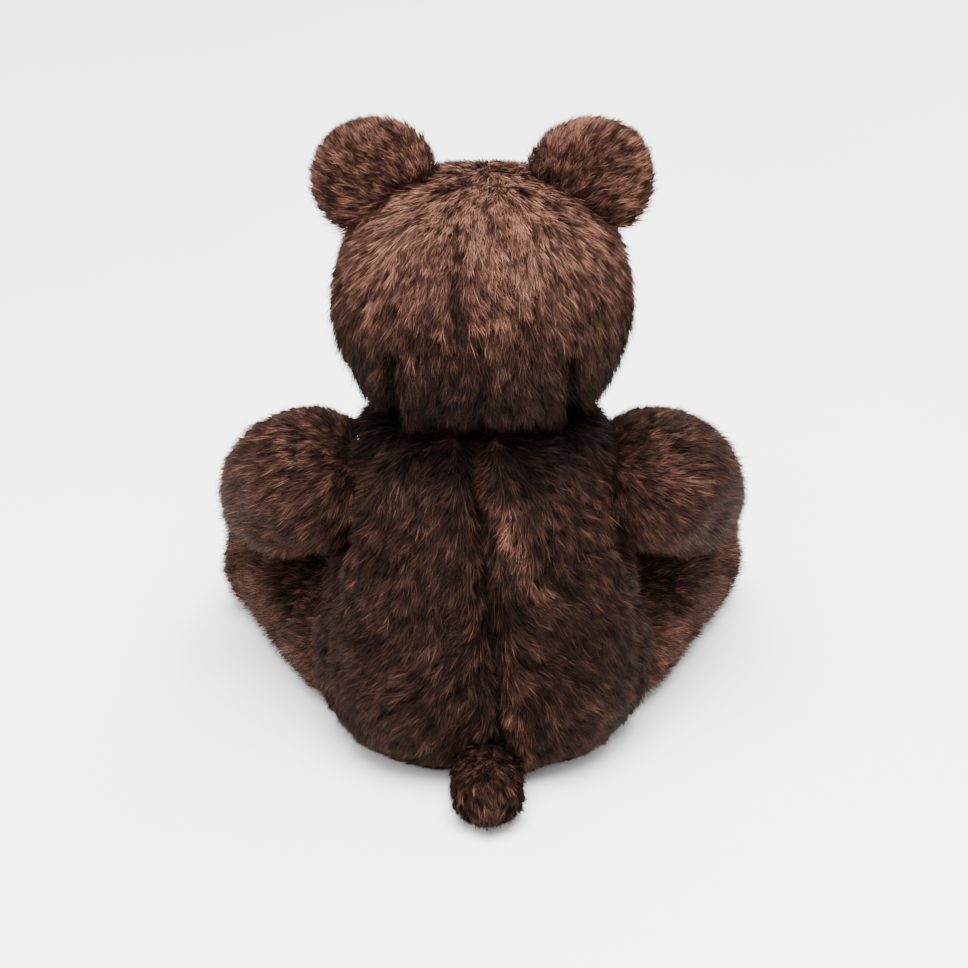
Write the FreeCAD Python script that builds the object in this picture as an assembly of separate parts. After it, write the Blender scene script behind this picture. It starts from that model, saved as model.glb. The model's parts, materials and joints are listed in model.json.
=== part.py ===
import FreeCAD, Part
import math
import os

from FreeCAD import Placement, Rotation, Vector

# Seated teddy bear: sewn plush panels over stuffing, with five disc joints (neck, shoulders, hips).
# Millimetres, +Z up. The bear faces -Y and its left side is +X. The origin is the middle of the
# flat seat under the torso, so the torso, both legs and the tail all rest on the plane z = 0.

# Walls and clearances
PLUSH_WALL = 3.0            # backing cloth with its pile pressed flat
PAD_WALL = 1.4              # suede-like cloth of the paw and foot pads
JOINT_GAP = 0.3             # between the two skins at a disc joint
STUFFING_GAP = 0.2          # between a skin and the stuffing in it
SEAT_GAP = 0.05             # between a piece and the curved skin it is sewn to
RUNNING_GAP = 0.08          # bolt in the bore that turns on it
SWEEP_ROOM = 0.8            # room that the torso leaves for a limb that turns past it
BEND_STEP = 0.4             # the lower part of a bent limb starts this much thinner

# Torso
TORSO_HEIGHT = 168.0        # seat to neck
TORSO_HALF_WIDTH = 74.0
LOBE_SHIFT = 14.0           # each side lobe is round about an axis this far from the middle
# Outline from the seat's edge to the neck: (share of the height, share of the half width)
TORSO_OUTLINE = ((0.0, 0.62), (0.06, 0.88), (0.18, 0.985), (0.33, 1.0), (0.50, 0.965),
                 (0.66, 0.90), (0.80, 0.84), (0.90, 0.76), (0.96, 0.65), (1.0, 0.50))
SIDE_SEAM_BACK = 24.0       # the side seams lie this far behind the middle
CLOSURE_TOP_X = 4.0         # the hand-sewn closure starts left of the middle at the neck
CLOSURE_LOW_X = -12.0       # and ends right of it at the seat

# Head: a ball drawn out from cheek to cheek, with a flat neck face
HEAD_HALF_WIDTH = 64.0
HEAD_RADIUS = 58.0
HEAD_FORWARD = 10.0         # the head's centre lies this far in front of the origin
HEAD_SEAM_BACK = 6.0        # the seam from ear to ear lies this far behind the head's centre
NECK_DEPTH = HEAD_RADIUS - 9.0      # from the head's centre down to the neck face
NECK_FORWARD = 5.0          # neck joint's axis in front of the origin
MUZZLE_HALF_WIDTH = 26.0
MUZZLE_RADIUS = 22.0
MUZZLE_DROP = 12.0          # muzzle's centre under the head's centre
MUZZLE_FORWARD = HEAD_RADIUS - 5.0  # muzzle's centre in front of the head's centre
NOSE_HALF_WIDTH = 10.5
NOSE_RADIUS = 7.0
NOSE_LIFT = 9.0             # nose over the muzzle's centre
EYE_RADIUS = 6.5
EYE_SIDE = 24.0
EYE_LIFT = 12.0             # eyes over the head's centre
EYE_SHANK_RADIUS = 2.0
EYE_SHANK_LENGTH = 14.0
EYE_WASHER_DEPTH = 5.0      # eye's washer behind the head's surface

# Ears
EAR_RADIUS = 26.0
EAR_THICKNESS = 13.0
EAR_ANGLE = 50.0            # up from level, seen from behind
EAR_OUT = 11.0              # ear's centre outside the head's outline
EAR_FORWARD = 4.0           # ear's centre in front of the head's centre
EAR_DISH = 4.0              # depth of the hollow in the ear's front
EAR_DISH_RADIUS = 22.0

# Tail
TAIL_HALF_LENGTH = 28.0
TAIL_RADIUS = 13.5
TAIL_BACK = TORSO_HALF_WIDTH - 7.0  # tail's centre behind the origin
TAIL_SHIFT = 2.5            # towards the bear's right

# Arms, each from a flat shoulder face to a mitten
SHOULDER_HEIGHT = TORSO_HEIGHT - 37.0
SHOULDER_FORWARD = 5.0
SHOULDER_FACE = TORSO_HALF_WIDTH - 18.0     # face's distance from the middle plane
SHOULDER_RADIUS = 28.5
SHOULDER_BALL_OUT = 19.0    # from the face out to the ball's centre
ELBOW_RADIUS = 26.5
ELBOW_REACH = 32.0
ELBOW_OUT = 12.5            # elbow's centre outside the shoulder ball's centre
PAW_RADIUS = 25.5
PAW_REACH = 66.0            # from the shoulder's axis to the paw's centre
PAW_OUT = 19.0              # paw's centre outside the shoulder ball's centre
PAW_OVER_THIGH = 7.0        # paw's underside over the level of the thigh's top
PAW_PAD_HALF_WIDTH = 13.0
PAW_PAD_HALF_HEIGHT = 16.0
PALM_DIRECTION = Vector(-0.35, -1.0, -0.25)
DIMPLE_ROOM = 2.5           # room round the arm at the floor of the torso's shoulder dimple
DIMPLE_FLARE = 2.4          # how fast the dimple widens outwards

# Legs, each from a flat hip face to an upright foot
HIP_FORWARD = 34.0
HIP_FACE = TORSO_HALF_WIDTH - 32.0          # face's distance from the middle plane
THIGH_RADIUS = 30.0
THIGH_BALL_OUT = 17.0       # from the face out to the ball's centre
KNEE_RADIUS = 29.0
KNEE_REACH = 33.0
ANKLE_RADIUS = 22.5
ANKLE_REACH = 75.0
LEG_SPLAY = 27.5            # outwards from straight ahead
HEEL_RADIUS = 24.0
FOOT_REACH = 87.0
TOE_RADIUS = 22.0
TOE_HEIGHT = 50.0           # toe ball's centre over the floor
TOE_BACK = 3.0              # toe ball's lean back towards the body
SOLE_TURN = 28.0            # the sole faces this far outwards
FOOT_PAD_HALF_WIDTH = 15.5
FOOT_PAD_HALF_HEIGHT = 25.0
LEG_RAISE = 8.0             # a leg lifts this far before it meets the belly

# Disc joints: two hardboard discs on one bolt, with a washer under its head and under its nut
ARM_DISC_RADIUS = 16.0
LEG_DISC_RADIUS = 13.0
NECK_DISC_RADIUS = 17.0
DISC_THICKNESS = 2.5
WASHER_RADIUS = 7.0
WASHER_THICKNESS = 1.0
BOLT_RADIUS = 2.5
BOLT_HEAD_RADIUS = 4.6
BOLT_HEAD_HEIGHT = 3.0
NUT_RADIUS = 4.6
NUT_HEIGHT = 4.0
BOLT_PAST_NUT = 2.0
TURNING_ROOM = 0.6          # stuffing stands off the end that turns

# Thread
CLOSURE_STITCHES = 22
CLOSURE_LOW = 0.16          # lowest and highest stitch, as shares of the torso's height
CLOSURE_HIGH = 0.88
STITCH_LENGTH = 5.0
THREAD_RADIUS = 0.6
MOUTH_THREAD_RADIUS = 0.9
MOUTH_DROP = 8.0
MOUTH_HALF_WIDTH = 10.0
MOUTH_SMILE = 3.0

# Worked out from the sizes above
SEAT = Vector(0, 0, 0)
LEFT = Vector(1, 0, 0)
BACK = Vector(0, 1, 0)
UP = Vector(0, 0, 1)
FAR = 400.0
HEAD_CENTRE = Vector(0, -HEAD_FORWARD, TORSO_HEIGHT + JOINT_GAP / 2 + NECK_DEPTH)
MUZZLE_CENTRE = HEAD_CENTRE + Vector(0, -MUZZLE_FORWARD, -MUZZLE_DROP)
NECK_JOINT = Vector(0, -NECK_FORWARD, TORSO_HEIGHT)
SHOULDER_JOINT = Vector(SHOULDER_FACE, -SHOULDER_FORWARD, SHOULDER_HEIGHT)
HIP_JOINT = Vector(HIP_FACE, -HIP_FORWARD, THIGH_RADIUS)


# Shapes

def tapered_capsule(start, start_radius, end, end_radius):
    """Round-ended limb: a cone tangent to the balls at its two ends, turned from one outline."""
    span = end - start
    length = span.Length
    lean = math.asin((start_radius - end_radius) / length)

    def on_ball(height, radius, angle):
        return Vector(radius * math.cos(angle), 0, height + radius * math.sin(angle))

    low = on_ball(0, start_radius, -math.pi / 2)
    low_tangent = on_ball(0, start_radius, lean)
    high_tangent = on_ball(length, end_radius, lean)
    high = on_ball(length, end_radius, math.pi / 2)
    low_arc = Part.Arc(low, on_ball(0, start_radius, (lean - math.pi / 2) / 2), low_tangent)
    high_arc = Part.Arc(high_tangent, on_ball(length, end_radius, (lean + math.pi / 2) / 2), high)
    wire = Part.Wire([low_arc.toShape(), Part.makeLine(low_tangent, high_tangent),
                      high_arc.toShape(), Part.makeLine(high, low)])
    solid = Part.Face(wire).revolve(SEAT, UP, 360)
    solid.Placement = Placement(start, Rotation(UP, span))
    return solid


def even_capsule(centre, half_length, radius, direction):
    """Egg-like solid: a ball of the radius drawn out to the half length each way."""
    reach = direction * (half_length - radius)
    return tapered_capsule(centre - reach, radius, centre + reach, radius)


def round_cushion(centre, radius, thickness, direction):
    """Flat disc with a fully rounded rim."""
    rim = thickness / 2
    flat = radius - rim
    rim_arc = Part.Arc(Vector(flat, 0, -rim), Vector(radius, 0, 0), Vector(flat, 0, rim))
    wire = Part.Wire([Part.makeLine(Vector(0, 0, -rim), Vector(flat, 0, -rim)), rim_arc.toShape(),
                      Part.makeLine(Vector(flat, 0, rim), Vector(0, 0, rim)),
                      Part.makeLine(Vector(0, 0, rim), Vector(0, 0, -rim))])
    solid = Part.Face(wire).revolve(SEAT, UP, 360)
    solid.Placement = Placement(centre, Rotation(UP, direction))
    return solid


def oval_column(half_width, half_height, centre, direction):
    """Long straight column of upright oval section, from the centre out along the direction."""
    oval = Part.Ellipse(Vector(0, half_height, 0), Vector(half_width, 0, 0), SEAT)
    column = Part.Face(Part.Wire([oval.toShape()])).extrude(UP * FAR)
    column.Placement = Placement(centre, Rotation(LEFT, UP, direction, "ZYX"))
    return column


def block(low, high):
    size = Vector(*high) - Vector(*low)
    return Part.makeBox(size.x, size.y, size.z, Vector(*low))


def beyond_plane(point, direction):
    """A box that holds everything near the bear on the far side of the plane at the point."""
    box = Part.makeBox(2 * FAR, 2 * FAR, FAR, Vector(-FAR, -FAR, 0))
    box.Placement = Placement(point, Rotation(UP, direction))
    return box


def mirrored(shape):
    return shape.mirror(SEAT, LEFT)


def depth_on_capsule(half_width, radius, x, z):
    """Forward distance from the centre of a cheek-to-cheek capsule to its surface, at x and z."""
    past_middle = max(abs(x) - (half_width - radius), 0)
    return math.sqrt(radius ** 2 - past_middle ** 2 - z ** 2)


def save(name, *shapes):
    shape = shapes[0] if len(shapes) == 1 else Part.makeCompound(shapes)
    shape.exportStep(f"parts/{name}.step")
    print(f"{name}: {len(shape.Solids)} solid, {shape.Volume / 1000:.2f} cm3, valid {shape.isValid()}")


# Disc joints

def round_bar(radius, low, high):
    return Part.makeCylinder(radius, high - low, Vector(0, 0, low))


def disc_joint(centre, direction, disc_radius):
    """The pieces and hollows of one joint; its limb lies along the direction."""
    wall = JOINT_GAP / 2 + PLUSH_WALL
    disc_end = wall + DISC_THICKNESS
    washer_end = disc_end + WASHER_THICKNESS
    head_end = washer_end + BOLT_HEAD_HEIGHT
    nut_start = washer_end + RUNNING_GAP
    nut_end = nut_start + NUT_HEIGHT
    shaft_end = nut_end + BOLT_PAST_NUT
    tight_hole = round_bar(BOLT_RADIUS, -FAR, FAR)
    turning_hole = round_bar(BOLT_RADIUS + RUNNING_GAP, -FAR, FAR)
    shaft = round_bar(BOLT_RADIUS, -shaft_end, washer_end + BOLT_HEAD_HEIGHT / 2)
    turning_end = round_bar(NUT_RADIUS + TURNING_ROOM, -shaft_end - TURNING_ROOM, 0)
    pieces = {
        "limb_disc": round_bar(disc_radius, wall, disc_end).cut(tight_hole),
        "limb_washer": round_bar(WASHER_RADIUS, disc_end, washer_end).cut(tight_hole),
        "bolt": shaft.fuse(round_bar(BOLT_HEAD_RADIUS, washer_end, head_end)),
        "nut": round_bar(NUT_RADIUS, -nut_end, -nut_start).cut(tight_hole),
        "torso_disc": round_bar(disc_radius, -disc_end, -wall).cut(turning_hole),
        "torso_washer": round_bar(WASHER_RADIUS, -washer_end, -disc_end).cut(turning_hole),
        "skin_hole": round_bar(BOLT_RADIUS + RUNNING_GAP, -2 * wall, 2 * wall),
        "limb_hollow": round_bar(disc_radius + STUFFING_GAP, 0, head_end + STUFFING_GAP),
        "torso_hollow": turning_end.fuse(
            round_bar(disc_radius + STUFFING_GAP, -washer_end - STUFFING_GAP, 0)),
    }
    for piece in pieces.values():
        piece.Placement = Placement(centre, Rotation(UP, direction))
    return pieces


# Torso

def torso_lobe(inset):
    """The left one of two round side lobes, flat at the seat and the neck."""
    points = [Vector(share * TORSO_HALF_WIDTH - LOBE_SHIFT - inset, 0, height * TORSO_HEIGHT)
              for height, share in TORSO_OUTLINE]
    points[0].z += inset
    points[-1].z -= JOINT_GAP / 2 + inset
    curve = Part.BSplineCurve()
    curve.interpolate(points)
    seat_middle = Vector(0, 0, points[0].z)
    neck_middle = Vector(0, 0, points[-1].z)
    wire = Part.Wire([Part.makeLine(seat_middle, points[0]), curve.toShape(),
                      Part.makeLine(points[-1], neck_middle), Part.makeLine(neck_middle, seat_middle)])
    lobe = Part.Face(wire).revolve(SEAT, UP, 360)
    lobe.translate(Vector(LOBE_SHIFT, 0, 0))
    return lobe


def torso_body(inset):
    """Both side lobes, met at the middle plane."""
    half = torso_lobe(inset).common(beyond_plane(SEAT, LEFT))
    return half.fuse(mirrored(half)).removeSplitter()


def hip_pocket(inset):
    """Room for one thigh, from lifted to standing: open at the front, below and outwards."""
    reach = THIGH_RADIUS + SWEEP_ROOM + inset
    inner_face = HIP_FACE - JOINT_GAP / 2 - inset
    _, y, z = HIP_JOINT
    front = block((inner_face, y - FAR, z - FAR), (FAR, y, z + reach))
    below = block((inner_face, y - FAR, z - FAR), (FAR, y + reach, z))
    round_top = Part.makeCylinder(reach, FAR, Vector(inner_face, y, z), LEFT)
    lift = block((inner_face, y - FAR, z), (FAR, y, z + reach))
    lift.rotate(HIP_JOINT, LEFT, -LEG_RAISE)
    return front.fuse([below, round_top, lift])


def shoulder_dimple(inset):
    """Flat seat for the shoulder, flaring outwards so that the arm turns past the flank."""
    inner_face = SHOULDER_FACE - JOINT_GAP / 2 - inset
    depth = TORSO_HALF_WIDTH - inner_face
    radius = SHOULDER_RADIUS + DIMPLE_ROOM + inset
    start = Vector(inner_face, SHOULDER_JOINT.y, SHOULDER_JOINT.z)
    return Part.makeCone(radius, radius + DIMPLE_FLARE * depth, depth, start, LEFT)


def torso_form(inset):
    """The torso with a dimple at each shoulder and a pocket at each hip, all drawn in by the inset."""
    rooms = [hip_pocket(inset), shoulder_dimple(inset)]
    return torso_body(inset).cut(rooms + [mirrored(room) for room in rooms])


def closure_x(height):
    """The closure slants from the neck's left to the seat's right."""
    return CLOSURE_LOW_X + (CLOSURE_TOP_X - CLOSURE_LOW_X) * height / TORSO_HEIGHT


def back_depth(body, x, height):
    """How far behind the origin the back's surface lies."""
    ray = Part.makeLine(Vector(x, 0, height), Vector(x, FAR, height))
    return max(vertex.Y for vertex in body.common(ray).Vertexes)


def closure_stitches(body):
    """Level ladder stitches that close the back, each just off the highest skin under it."""
    half = STITCH_LENGTH / 2
    stitches = []
    for index in range(CLOSURE_STITCHES):
        share = CLOSURE_LOW + (CLOSURE_HIGH - CLOSURE_LOW) * index / (CLOSURE_STITCHES - 1)
        height = share * TORSO_HEIGHT
        x = closure_x(height)
        depth = max(back_depth(body, place, level)
                    for place in (x - half, x, x + half)
                    for level in (height - THREAD_RADIUS, height, height + THREAD_RADIUS))
        start = Vector(x - half, depth + THREAD_RADIUS + STUFFING_GAP, height)
        stitches.append(Part.makeCylinder(THREAD_RADIUS, STITCH_LENGTH, start, LEFT))
    return stitches


def tail_form(inset):
    centre = Vector(-TAIL_SHIFT, TAIL_BACK, TAIL_RADIUS)
    return even_capsule(centre, TAIL_HALF_LENGTH - inset, TAIL_RADIUS - inset, BACK)


def beside_lobes(shape, lobe):
    """The part of a shape that lies outside both side lobes."""
    return shape.cut(lobe).cut(mirrored(lobe))


# Head

def head_form(inset):
    whole = even_capsule(HEAD_CENTRE, HEAD_HALF_WIDTH - inset, HEAD_RADIUS - inset, LEFT)
    neck_face = Vector(0, 0, TORSO_HEIGHT + JOINT_GAP / 2 + inset)
    return whole.common(beyond_plane(neck_face, UP))


def muzzle_form(inset):
    return even_capsule(MUZZLE_CENTRE, MUZZLE_HALF_WIDTH - inset, MUZZLE_RADIUS - inset, LEFT)


def nose():
    forward = depth_on_capsule(MUZZLE_HALF_WIDTH, MUZZLE_RADIUS, 0, NOSE_LIFT)
    centre = MUZZLE_CENTRE + Vector(0, -forward, NOSE_LIFT)
    return even_capsule(centre, NOSE_HALF_WIDTH, NOSE_RADIUS, LEFT)


def mouth_threads():
    """One upright stitch under the nose and two that curve away below it, just off the muzzle."""
    off = MOUTH_THREAD_RADIUS + STUFFING_GAP

    def on_muzzle(x, z):
        depth = depth_on_capsule(MUZZLE_HALF_WIDTH + off, MUZZLE_RADIUS + off, x, z)
        return MUZZLE_CENTRE + Vector(x, -depth, z)

    top = NOSE_LIFT - NOSE_RADIUS - 2 * MOUTH_THREAD_RADIUS
    fork = top - MOUTH_DROP
    runs = [[(0, top), (0, (top + fork) / 2), (0, fork)]]
    for side in (-1, 1):
        first = side * 2.5 * MOUTH_THREAD_RADIUS
        runs.append([(first + side * MOUTH_HALF_WIDTH * share, fork - MOUTH_SMILE * math.sin(2.4 * share))
                     for share in (0, 0.25, 0.5, 0.75, 1.0)])
    threads = []
    for run in runs:
        points = [on_muzzle(x, z) for x, z in run]
        pieces = [tapered_capsule(start, MOUTH_THREAD_RADIUS, end, 0.98 * MOUTH_THREAD_RADIUS)
                  for start, end in zip(points, points[1:])]
        threads.append(pieces[0].fuse(pieces[1:]))
    return threads


def eye_place():
    depth = depth_on_capsule(HEAD_HALF_WIDTH, HEAD_RADIUS, EYE_SIDE, EYE_LIFT)
    point = HEAD_CENTRE + Vector(EYE_SIDE, -depth, EYE_LIFT)
    outwards = Vector(EYE_SIDE - (HEAD_HALF_WIDTH - HEAD_RADIUS), -depth, EYE_LIFT)
    return Placement(point, Rotation(UP, outwards))


def eye():
    """Safety eye: a domed front whose shank goes through the skin to a washer behind it."""
    dome = Part.makeSphere(EYE_RADIUS, SEAT, UP, -15, 90, 360)
    shank = round_bar(EYE_SHANK_RADIUS, -EYE_SHANK_LENGTH, 0)
    solid = dome.fuse(shank)
    solid.Placement = eye_place()
    return solid


def eye_washer():
    low = -EYE_WASHER_DEPTH - WASHER_THICKNESS
    washer = round_bar(WASHER_RADIUS, low, -EYE_WASHER_DEPTH).cut(round_bar(EYE_SHANK_RADIUS, -FAR, FAR))
    washer.Placement = eye_place()
    return washer


def ear_centre():
    angle = math.radians(EAR_ANGLE)
    shift = HEAD_HALF_WIDTH - HEAD_RADIUS
    outline = shift * math.cos(angle) + math.sqrt(HEAD_RADIUS ** 2 - (shift * math.sin(angle)) ** 2)
    reach = outline + EAR_OUT
    return HEAD_CENTRE + Vector(reach * math.cos(angle), -EAR_FORWARD, reach * math.sin(angle))


def ear_halves():
    """Back and front cloth of one ear, face to face, the front one dished."""
    centre = ear_centre()
    whole = round_cushion(centre, EAR_RADIUS, EAR_THICKNESS, BACK).cut(head_form(-SEAT_GAP))
    ball = (EAR_DISH_RADIUS ** 2 + EAR_DISH ** 2) / (2 * EAR_DISH)
    front_face = centre.y - EAR_THICKNESS / 2
    hollow = Part.makeSphere(ball, Vector(centre.x, front_face - ball + EAR_DISH, centre.z))
    back = whole.common(beyond_plane(centre, BACK))
    front = whole.common(beyond_plane(centre, -BACK)).cut(hollow)
    return back, front


# Arms

def paw_centre():
    """The paw rests over the thigh, as low as its stated room allows."""
    height = 2 * THIGH_RADIUS + PAW_OVER_THIGH + PAW_RADIUS
    forward = math.sqrt(PAW_REACH ** 2 - (SHOULDER_HEIGHT - height) ** 2)
    return Vector(SHOULDER_FACE + SHOULDER_BALL_OUT + PAW_OUT, -SHOULDER_FORWARD - forward, height)


def arm_form(inset):
    ball = SHOULDER_JOINT + LEFT * SHOULDER_BALL_OUT
    paw = paw_centre()
    along = Vector(0, paw.y - ball.y, paw.z - ball.z).normalize()
    elbow = ball + along * ELBOW_REACH + LEFT * ELBOW_OUT
    upper = tapered_capsule(ball, SHOULDER_RADIUS - inset, elbow, ELBOW_RADIUS - inset)
    lower = tapered_capsule(elbow, ELBOW_RADIUS - BEND_STEP - inset, paw, PAW_RADIUS - inset)
    face = SHOULDER_JOINT + LEFT * (JOINT_GAP / 2 + inset)
    return upper.fuse(lower).common(beyond_plane(face, LEFT))


def paw_pad_column():
    return oval_column(PAW_PAD_HALF_WIDTH, PAW_PAD_HALF_HEIGHT, paw_centre(), PALM_DIRECTION)


# Legs

def leg_points():
    """Centres of the thigh, knee, ankle, heel and toe balls; all but the toes rest on the floor."""
    splay = math.radians(LEG_SPLAY)
    along = Vector(math.sin(splay), -math.cos(splay), 0)
    level = Vector(HIP_FACE + THIGH_BALL_OUT, -HIP_FORWARD, 0)
    thigh = level + UP * THIGH_RADIUS
    knee = level + along * KNEE_REACH + UP * KNEE_RADIUS
    ankle = level + along * ANKLE_REACH + UP * ANKLE_RADIUS
    heel = level + along * FOOT_REACH + UP * HEEL_RADIUS
    toe = level + along * (FOOT_REACH - TOE_BACK) + UP * TOE_HEIGHT
    return thigh, knee, ankle, heel, toe


def leg_form(inset):
    thigh, knee, ankle, heel, toe = leg_points()
    upper = tapered_capsule(thigh, THIGH_RADIUS - inset, knee, KNEE_RADIUS - inset)
    lower = tapered_capsule(knee, KNEE_RADIUS - BEND_STEP - inset, ankle, ANKLE_RADIUS - inset)
    foot = tapered_capsule(heel, HEEL_RADIUS - inset, toe, TOE_RADIUS - inset)
    face = HIP_JOINT + LEFT * (JOINT_GAP / 2 + inset)
    return upper.fuse([lower, foot]).common(beyond_plane(face, LEFT))


def foot_pad_column():
    heel, toe = leg_points()[3:]
    turn = math.radians(SOLE_TURN)
    sole = Vector(math.sin(turn), -math.cos(turn), 0)
    return oval_column(FOOT_PAD_HALF_WIDTH, FOOT_PAD_HALF_HEIGHT, (heel + toe) * 0.5, sole)


# Whole pieces

def limb_pieces(form, pad_column, joint):
    """Skin, pad and stuffing of one arm or leg, with the joint's disc, washer, bolt and nut."""
    outside = form(0)
    pad = outside.cut(form(PAD_WALL)).common(pad_column)
    skin = outside.cut(form(PLUSH_WALL)).cut([joint["skin_hole"], pad])
    stuffing = form(PLUSH_WALL + STUFFING_GAP).cut(joint["limb_hollow"])
    return {"skin": skin, "pad": pad, "stuffing": stuffing, "joint_disc": joint["limb_disc"],
            "joint_washer": joint["limb_washer"], "joint_bolt": joint["bolt"],
            "joint_nut": joint["nut"]}


def save_limb(name, pieces):
    for piece_name, solid in pieces.items():
        save(f"left_{name}_{piece_name}", solid)
        save(f"right_{name}_{piece_name}", mirrored(solid))


def save_torso(neck, shoulder, hip):
    body = torso_form(0)
    holes = [neck["skin_hole"], shoulder["skin_hole"], mirrored(shoulder["skin_hole"]),
             hip["skin_hole"], mirrored(hip["skin_hole"])]
    skin = body.cut(torso_form(PLUSH_WALL)).cut(holes)
    behind = beyond_plane(BACK * SIDE_SEAM_BACK, BACK)
    back = skin.common(behind)
    slant = Vector(-TORSO_HEIGHT, 0, CLOSURE_TOP_X - CLOSURE_LOW_X)
    right_side = beyond_plane(LEFT * CLOSURE_LOW_X, slant)
    save("torso_front_panel", skin.cut(behind))
    save("torso_back_left_panel", back.cut(right_side))
    save("torso_back_right_panel", back.common(right_side))
    hollows = [neck["torso_hollow"], shoulder["torso_hollow"], mirrored(shoulder["torso_hollow"]),
               hip["torso_hollow"], mirrored(hip["torso_hollow"])]
    save("torso_stuffing", torso_form(PLUSH_WALL + STUFFING_GAP).cut(hollows))
    save("back_closure_stitches", *closure_stitches(body))
    save("neck_torso_disc", neck["torso_disc"])
    save("shoulder_torso_discs", shoulder["torso_disc"], mirrored(shoulder["torso_disc"]))
    save("hip_torso_discs", hip["torso_disc"], mirrored(hip["torso_disc"]))
    save("torso_joint_washers", neck["torso_washer"], shoulder["torso_washer"], hip["torso_washer"],
         mirrored(shoulder["torso_washer"]), mirrored(hip["torso_washer"]))
    lobe = torso_lobe(-SEAT_GAP)
    save("tail_skin", beside_lobes(tail_form(0), lobe).cut(tail_form(PLUSH_WALL)))
    save("tail_stuffing", beside_lobes(tail_form(PLUSH_WALL + STUFFING_GAP), lobe))


def save_head(neck):
    left_eye = eye()
    right_eye = mirrored(left_eye)
    washers = [eye_washer(), mirrored(eye_washer())]
    skin = head_form(0).cut(head_form(PLUSH_WALL)).cut([neck["skin_hole"], left_eye, right_eye])
    behind = beyond_plane(HEAD_CENTRE + BACK * HEAD_SEAM_BACK, BACK)
    back = skin.common(behind)
    right_side = beyond_plane(HEAD_CENTRE, -LEFT)
    save("head_face_panel", skin.cut(behind))
    save("head_back_left_panel", back.cut(right_side))
    save("head_back_right_panel", back.common(right_side))
    stuffing = head_form(PLUSH_WALL + STUFFING_GAP).cut(neck["limb_hollow"])
    save("head_stuffing", stuffing.cut([left_eye, right_eye] + washers))
    save("left_eye", left_eye)
    save("right_eye", right_eye)
    save("eye_washers", *washers)
    outside = head_form(-SEAT_GAP)
    nose_solid = nose()
    save("muzzle_skin", muzzle_form(0).cut(muzzle_form(PLUSH_WALL)).cut([outside, nose_solid]))
    save("muzzle_stuffing", muzzle_form(PLUSH_WALL + STUFFING_GAP).cut([outside, nose_solid]))
    save("nose", nose_solid)
    save("mouth_threads", *mouth_threads())
    back_ear, front_ear = ear_halves()
    save("left_ear_back", back_ear)
    save("left_ear_front", front_ear)
    save("right_ear_back", mirrored(back_ear))
    save("right_ear_front", mirrored(front_ear))
    save("neck_head_disc", neck["limb_disc"])
    save("neck_head_washer", neck["limb_washer"])
    save("neck_bolt", neck["bolt"])
    save("neck_nut", neck["nut"])


os.makedirs("parts", exist_ok=True)
neck_joint = disc_joint(NECK_JOINT, UP, NECK_DISC_RADIUS)
shoulder_joint = disc_joint(SHOULDER_JOINT, LEFT, ARM_DISC_RADIUS)
hip_joint = disc_joint(HIP_JOINT, LEFT, LEG_DISC_RADIUS)
save_torso(neck_joint, shoulder_joint, hip_joint)
save_head(neck_joint)
save_limb("arm", limb_pieces(arm_form, paw_pad_column(), shoulder_joint))
save_limb("leg", limb_pieces(leg_form, foot_pad_column(), hip_joint))
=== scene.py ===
# %% [markdown]
# # A seated plush teddy bear
# A stuffed bear is a few sewn cloth shells, filled until they are firm, and joined by discs at the
# neck, shoulders and hips. What is seen is nearly all pile: short strands that lean one way, gather
# into tufts and part along the seams. The hard frame is loaded first, and everything is made round it.

import json
import math

import bmesh
import bpy
import numpy as np
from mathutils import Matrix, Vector, noise


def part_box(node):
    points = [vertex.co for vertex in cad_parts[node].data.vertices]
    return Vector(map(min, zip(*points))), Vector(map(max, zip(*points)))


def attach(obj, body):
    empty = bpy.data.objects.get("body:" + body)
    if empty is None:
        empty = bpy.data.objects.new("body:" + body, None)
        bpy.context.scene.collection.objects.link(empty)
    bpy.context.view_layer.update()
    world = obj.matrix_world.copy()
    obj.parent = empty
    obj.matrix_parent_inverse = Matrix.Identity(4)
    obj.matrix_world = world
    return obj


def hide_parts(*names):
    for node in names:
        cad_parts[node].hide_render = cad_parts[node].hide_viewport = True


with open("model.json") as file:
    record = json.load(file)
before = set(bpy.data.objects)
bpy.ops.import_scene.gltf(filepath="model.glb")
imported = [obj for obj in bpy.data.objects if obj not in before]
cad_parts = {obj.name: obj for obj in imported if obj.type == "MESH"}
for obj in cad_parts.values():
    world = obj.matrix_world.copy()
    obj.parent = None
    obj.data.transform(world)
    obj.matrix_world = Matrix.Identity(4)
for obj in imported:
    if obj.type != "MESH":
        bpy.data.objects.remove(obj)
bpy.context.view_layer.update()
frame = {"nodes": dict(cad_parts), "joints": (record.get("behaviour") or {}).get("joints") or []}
scene = bpy.context.scene

# %% [markdown]
# ## Studio
# The bear sits on a pale floor in soft light from above. A wide overhead panel gives the soft shadow
# under the legs, and a bright even surround fills the dark pile.

# %% Camera, floor and lights
VIEW_TARGET = Vector((-0.0007, 0.0, 0.1282))
VIEW_ANGLE = math.radians(28.0)
VIEW_DISTANCE = 1.4
LENS_LENGTH = 114.5
LAMP_TARGET = (0.0, 0.0, 0.12)
SURROUND_STRENGTH = 1.4
SEAT_LEVEL = 0.0


def aim(thing, place, target):
    """Put a lamp or camera at the place and turn it towards the target."""
    thing.location = place
    thing.rotation_euler = (Vector(target) - Vector(place)).to_track_quat("-Z", "Y").to_euler()


def soft_panel(name, place, width, power):
    """A square area light that looks at the bear."""
    light = bpy.data.lights.new(name, "AREA")
    light.size = width
    light.energy = power
    lamp = bpy.data.objects.new(name, light)
    scene.collection.objects.link(lamp)
    aim(lamp, place, LAMP_TARGET)


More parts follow.
